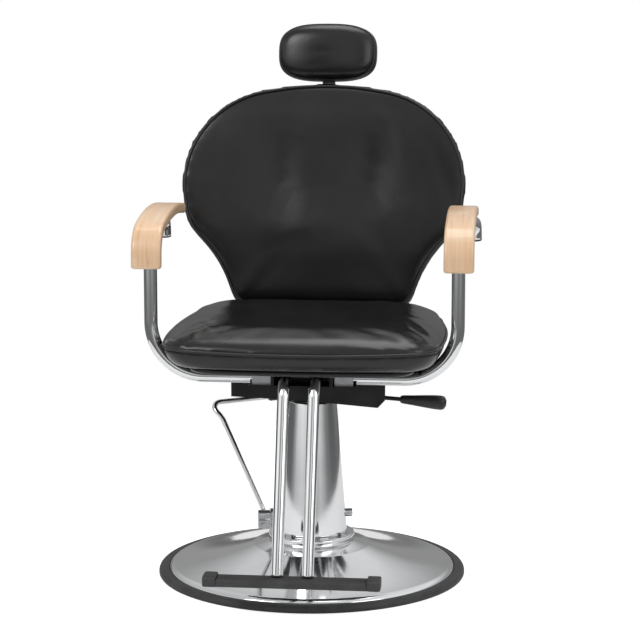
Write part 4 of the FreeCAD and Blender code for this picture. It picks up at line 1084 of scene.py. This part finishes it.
def make_handle():
    """The recline handle's grip, a turned teardrop on its rod."""
    droop = math.radians(4)
    along = np.array([56, 57, 60, 70, 80, 95, 110, 122, 132, 138, 142, 144.5, 145]) / 1000
    radius = np.array([4.5, 7, 8, 8.8, 9.6, 11.2, 12.6, 13.6, 14, 13.4, 11.5, 7.5, 3]) / 1000
    at = np.linspace(0.056, 0.145, 90)
    radius = np.interp(at, along, radius)
    radius = np.convolve(np.pad(radius, 2, mode="edge"), np.ones(5) / 5, "valid")
    path = np.stack([0.118 + at * math.cos(droop), np.full_like(at, -0.020), 0.354 - at * math.sin(droop)], -1)
    piece = grid_piece("recline_grip", tube_grid(path, radius, (0, 0, 1), 48))
    put(piece, "handle", "moulded_plastic", "black_plastic", "handle_grip")


# Finishes of the carried-over pieces


SLOT_FINISH = {
    "chrome": "bright_chrome",
    "rubber_black": "floor_rubber",
    "black_steel": "powder_coat",
    "cast_black": "powder_coat",
    "plain_steel": "ground_steel",
    "bolt_steel": "zinc_plate",
    "bronze": "bearing_bronze",
    "pale_wood": "varnished_beech",
    "plywood": "plywood",
    "black_vinyl": "satin_vinyl",
    "black_plastic": "moulded_plastic",
}


def finish_frame():
    """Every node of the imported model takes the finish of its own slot."""
    for part in frame["record"]["subparts"]:
        node = frame["nodes"][part["node"]]
        node.data.materials.clear()
        node.data.materials.append(finish(SLOT_FINISH[part["material_slot"]]))


# Stage


def floor_material():
    """White floor: plain diffuse under the lamps, lifted to white for the camera with its shadow kept."""
    shader = Shader("stage_floor")
    white = colours().stage_white
    shader.feed("Base Color", (white, white, white, 1)).feed("Roughness", 0.9).feed("Specular IOR Level", 0.1)
    path = shader.node("ShaderNodeLightPath")
    glow = shader.node("ShaderNodeEmission")
    lift = shader.node("ShaderNodeMath", operation="MAXIMUM")
    for number, (ray, amount) in enumerate((("Is Camera Ray", 0.74), ("Is Glossy Ray", 0.20))):
        share = shader.node("ShaderNodeMath", operation="MULTIPLY")
        share.inputs[1].default_value = amount
        shader.join(path.outputs[ray], share.inputs[0])
        shader.join(share.outputs["Value"], lift.inputs[number])
    shader.join(lift.outputs["Value"], glow.inputs["Strength"])
    both = shader.node("ShaderNodeAddShader")
    shader.join(shader.main.outputs["BSDF"], both.inputs[0])
    shader.join(glow.outputs["Emission"], both.inputs[1])
    shader.join(both.outputs["Shader"], shader.tree.nodes["Material Output"].inputs["Surface"])
    return shader.material


# Brightness of the studio round the compass, in degrees from the camera's side, positive toward +X. The low band is
# what upright chrome shows, the high band what the leaning back and the seat's front show.
# WALL_WHITE is more than the brightest of them.
WALL_WHITE = 1.3
LOW_WALLS = (
    (-180, 0.18), (-150, 0.12), (-110, 0.10), (-85, 0.14), (-72, 0.45), (-60, 0.85), (-38, 0.95), (-22, 0.80),
    (-12, 0.45), (-4, 0.30), (6, 0.40), (18, 0.62), (32, 0.78), (46, 0.55), (60, 0.28), (85, 0.12), (105, 0.10),
    (125, 0.26), (145, 0.42), (165, 0.25), (180, 0.18),
)
HIGH_WALLS = (
    (-180, 0.30), (-120, 0.55), (-85, 0.95), (-60, 1.25), (-44, 1.05), (-30, 0.10), (-17, 0.10), (-5, 0.95),
    (8, 0.90), (19, 0.08), (38, 0.08), (52, 0.90), (64, 1.10), (85, 0.65), (120, 0.40), (180, 0.30),
)


def make_world():
    """White surroundings for the camera. For metal and vinyl, a studio whose brightness is worked out from the
    direction: a dark ground, two bands of walls that differ round the compass, and a ceiling brighter on one side."""
    world = bpy.data.worlds.new("studio")
    bpy.context.scene.world = world
    world.use_nodes = True
    tree = world.node_tree
    tree.nodes.clear()

    def add(kind, **settings):
        made = tree.nodes.new(kind)
        for key, value in settings.items():
            setattr(made, key, value)
        return made

    def spread(value, first, last, low=0.0, high=1.0):
        made = add("ShaderNodeMapRange")
        for name, number in (("From Min", first), ("From Max", last), ("To Min", low), ("To Max", high)):
            made.inputs[name].default_value = number
        tree.links.new(value, made.inputs["Value"])
        return made.outputs["Result"]

    def walls(turn, stops):
        made = add("ShaderNodeValToRGB")
        points = made.color_ramp.elements
        while len(points) < len(stops):
            points.new(0.5)
        for point, (angle, grey) in zip(points, stops):
            point.position = (angle + 180) / 360
            point.color = (grey / WALL_WHITE,) * 3 + (1,)
        tree.links.new(turn, made.inputs["Fac"])
        return spread(made.outputs["Color"], 0, 1, 0, WALL_WHITE)

    def mix(share, first, second):
        made = add("ShaderNodeMix", data_type="FLOAT")
        for name, value in (("Factor", share), ("A", first), ("B", second)):
            if isinstance(value, float):
                made.inputs[name].default_value = value
            else:
                tree.links.new(value, made.inputs[name])
        return made.outputs["Result"]

    split = add("ShaderNodeSeparateXYZ")
    placed = add("ShaderNodeMapping", vector_type="POINT")
    placed.inputs["Rotation"].default_value = (0, 0, math.radians(-96))
    tree.links.new(add("ShaderNodeTexCoord").outputs["Generated"], placed.inputs["Vector"])
    tree.links.new(placed.outputs["Vector"], split.inputs["Vector"])
    angle = add("ShaderNodeMath", operation="ARCTAN2")
    tree.links.new(split.outputs["Y"], angle.inputs[0])
    tree.links.new(split.outputs["X"], angle.inputs[1])
    opposite = spread(angle.outputs["Value"], -math.pi, math.pi, 0.0, 1.0)
    turn = add("ShaderNodeMath", operation="FRACT")
    half = add("ShaderNodeMath", operation="ADD")
    half.inputs[1].default_value = 0.5
    tree.links.new(opposite, half.inputs[0])
    tree.links.new(half.outputs["Value"], turn.inputs[0])
    height = split.outputs["Z"]
    low, high = walls(turn.outputs["Value"], LOW_WALLS), walls(turn.outputs["Value"], HIGH_WALLS)
    ground = mix(spread(height, -0.16, -0.05), 0.16, low)
    band = mix(spread(height, 0.06, 0.15), ground, high)
    ceiling = spread(split.outputs["Y"], -1.0, 1.0, 0.98, 0.50)
    bright = mix(spread(height, 0.30, 0.55), band, ceiling)
    path = add("ShaderNodeLightPath")
    white = add("ShaderNodeMath", operation="MAXIMUM")
    tree.links.new(path.outputs["Is Camera Ray"], white.inputs[0])
    tree.links.new(path.outputs["Is Transmission Ray"], white.inputs[1])
    level = mix(white.outputs["Value"], mix(path.outputs["Is Glossy Ray"], 0.42, bright), 1.0)
    ground_light = add("ShaderNodeBackground")
    ground_light.inputs["Color"].default_value = (1, 1, 1, 1)
    tree.links.new(level, ground_light.inputs["Strength"])
    tree.links.new(ground_light.outputs["Background"], add("ShaderNodeOutputWorld").inputs["Surface"])


# Name, place, target, width and depth, and power of each soft lamp
LAMPS = (
    ("key_lamp", (-1.9, -2.4, 2.6), (0, 0, 0.55), (1.6, 1.2), 34),
    ("fill_lamp", (2.4, -2.0, 1.7), (0, 0, 0.6), (1.6, 1.6), 15),
    ("top_lamp", (0.2, 0.3, 3.0), (0, 0, 0.5), (1.8, 1.4), 24),
)


def add_lamp(name, place, target, size, power):
    lamp = bpy.data.lights.new(name, "AREA")
    lamp.shape = "RECTANGLE"
    lamp.size, lamp.size_y = size
    lamp.energy = power
    holder = bpy.data.objects.new(name, lamp)
    holder.location = place
    holder.rotation_euler = (Vector(target) - Vector(place)).to_track_quat("-Z", "Y").to_euler()
    bpy.context.scene.collection.objects.link(holder)


def make_stage():
    """A round floor just under the chair, three soft lamps and the camera at the photograph's angle."""
    scene = bpy.context.scene
    scene.view_settings.view_transform = "Standard"
    make_world()
    mesh = bpy.data.meshes.new("studio_floor")
    ring = turned_grid(np.array([(0.001, 0), (0.5, 0), (1.0, 0), (1.4, 0)]) - (0, 0.0004), 96)
    rows, around = ring.shape[:2]
    mesh.from_pydata(ring.reshape(-1, 3).tolist(), [], grid_faces(rows, around))
    floor = bpy.data.objects.new("studio_floor", mesh)
    scene.collection.objects.link(floor)
    mesh.materials.append(floor_material())
    for lamp in LAMPS:
        add_lamp(*lamp)
    camera = bpy.data.cameras.new("photo_camera")
    camera.sensor_width = 36
    camera.lens = 117.58
    camera.shift_x = 0.0129
    camera.clip_end = 60
    holder = bpy.data.objects.new("photo_camera", camera)
    holder.location = (0.41811, -3.97809, 1.11936)
    holder.rotation_euler = (math.radians(81.18), 0, math.radians(6))
    scene.collection.objects.link(holder)
    scene.camera = holder


# Operators


class BARBER_OT_frame(bpy.types.Operator):
    """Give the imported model's own pieces their finishes"""

    bl_idname = "barber.frame"
    bl_label = "Frame finishes"

    def execute(self, context):
        finish_frame()
        return {"FINISHED"}


class BARBER_OT_seat(bpy.types.Operator):
    """Build the stuffed seat and its piping"""

    bl_idname = "barber.seat"
    bl_label = "Seat"

    def execute(self, context):
        make_seat_underside()
        make_seat_cushion()
        return {"FINISHED"}


class BARBER_OT_back(bpy.types.Operator):
    """Build the stuffed back and its piping"""

    bl_idname = "barber.back"
    bl_label = "Back"

    def execute(self, context):
        make_back_cushion()
        return {"FINISHED"}


class BARBER_OT_headrest(bpy.types.Operator):
    """Build the headrest pad and its seam"""

    bl_idname = "barber.headrest"
    bl_label = "Headrest"

    def execute(self, context):
        make_headrest_pad()
        return {"FINISHED"}


class BARBER_OT_armrests(bpy.types.Operator):
    """Build the two bent wooden armrests"""

    bl_idname = "barber.armrests"
    bl_label = "Wooden armrests"

    def execute(self, context):
        make_armrests()
        return {"FINISHED"}


class BARBER_OT_arm_tubes(bpy.types.Operator):
    """Build the two bent arm tubes"""

    bl_idname = "barber.arm_tubes"
    bl_label = "Arm tubes"

    def execute(self, context):
        make_arm_tubes()
        return {"FINISHED"}


class BARBER_OT_footrest(bpy.types.Operator):
    """Build the footrest's tubes, tread and end rubbers"""

    bl_idname = "barber.footrest"
    bl_label = "Footrest"

    def execute(self, context):
        make_footrest()
        return {"FINISHED"}


class BARBER_OT_base(bpy.types.Operator):
    """Build the dome, the rubber ring and the flange"""

    bl_idname = "barber.base"
    bl_label = "Floor base"

    def execute(self, context):
        make_base()
        return {"FINISHED"}


class BARBER_OT_column(bpy.types.Operator):
    """Build the tapered column cover"""

    bl_idname = "barber.column"
    bl_label = "Column cover"

    def execute(self, context):
        make_column()
        return {"FINISHED"}


class BARBER_OT_foot_lever(bpy.types.Operator):
    """Build the foot lever's rod and sleeve"""

    bl_idname = "barber.foot_lever"
    bl_label = "Foot lever"

    def execute(self, context):
        make_foot_lever()
        return {"FINISHED"}


class BARBER_OT_handle(bpy.types.Operator):
    """Build the recline handle's grip"""

    bl_idname = "barber.handle"
    bl_label = "Recline handle"

    def execute(self, context):
        make_handle()
        return {"FINISHED"}


class BARBER_OT_stage(bpy.types.Operator):
    """Lay the floor and set the lamps and the camera"""

    bl_idname = "barber.stage"
    bl_label = "Stage"

    def execute(self, context):
        make_stage()
        return {"FINISHED"}


OPERATORS = (BARBER_OT_stage, BARBER_OT_frame, BARBER_OT_base, BARBER_OT_column, BARBER_OT_foot_lever,
             BARBER_OT_footrest, BARBER_OT_arm_tubes, BARBER_OT_armrests, BARBER_OT_handle, BARBER_OT_seat,
             BARBER_OT_back, BARBER_OT_headrest)


class BARBER_PT_panel(bpy.types.Panel):
    """Sizes, colours and pieces of the barber chair"""

    bl_label = "Barber Chair"
    bl_idname = "BARBER_PT_panel"
    bl_space_type = "VIEW_3D"
    bl_region_type = "UI"
    bl_category = "Barber Chair"

    def draw(self, context):
        layout = self.layout
        for group in (context.scene.chair_sizes, context.scene.chair_colours):
            box = layout.box()
            for name in type(group).__annotations__:
                box.prop(group, name)
        for operator in OPERATORS:
            layout.operator(operator.bl_idname)


CLASSES = (ChairSizes, ChairColours, BARBER_PT_panel) + OPERATORS


def register():
    for made in CLASSES:
        bpy.utils.register_class(made)
    bpy.types.Scene.chair_sizes = PointerProperty(type=ChairSizes)
    bpy.types.Scene.chair_colours = PointerProperty(type=ChairColours)


def unregister():
    del bpy.types.Scene.chair_colours
    del bpy.types.Scene.chair_sizes
    for made in reversed(CLASSES):
        bpy.utils.unregister_class(made)


def main():
    """Builds the whole chair and its stage."""
    register()
    for operator in OPERATORS:
        getattr(bpy.ops.barber, operator.bl_idname.split(".")[1])()


if __name__ == "__main__":
    main()
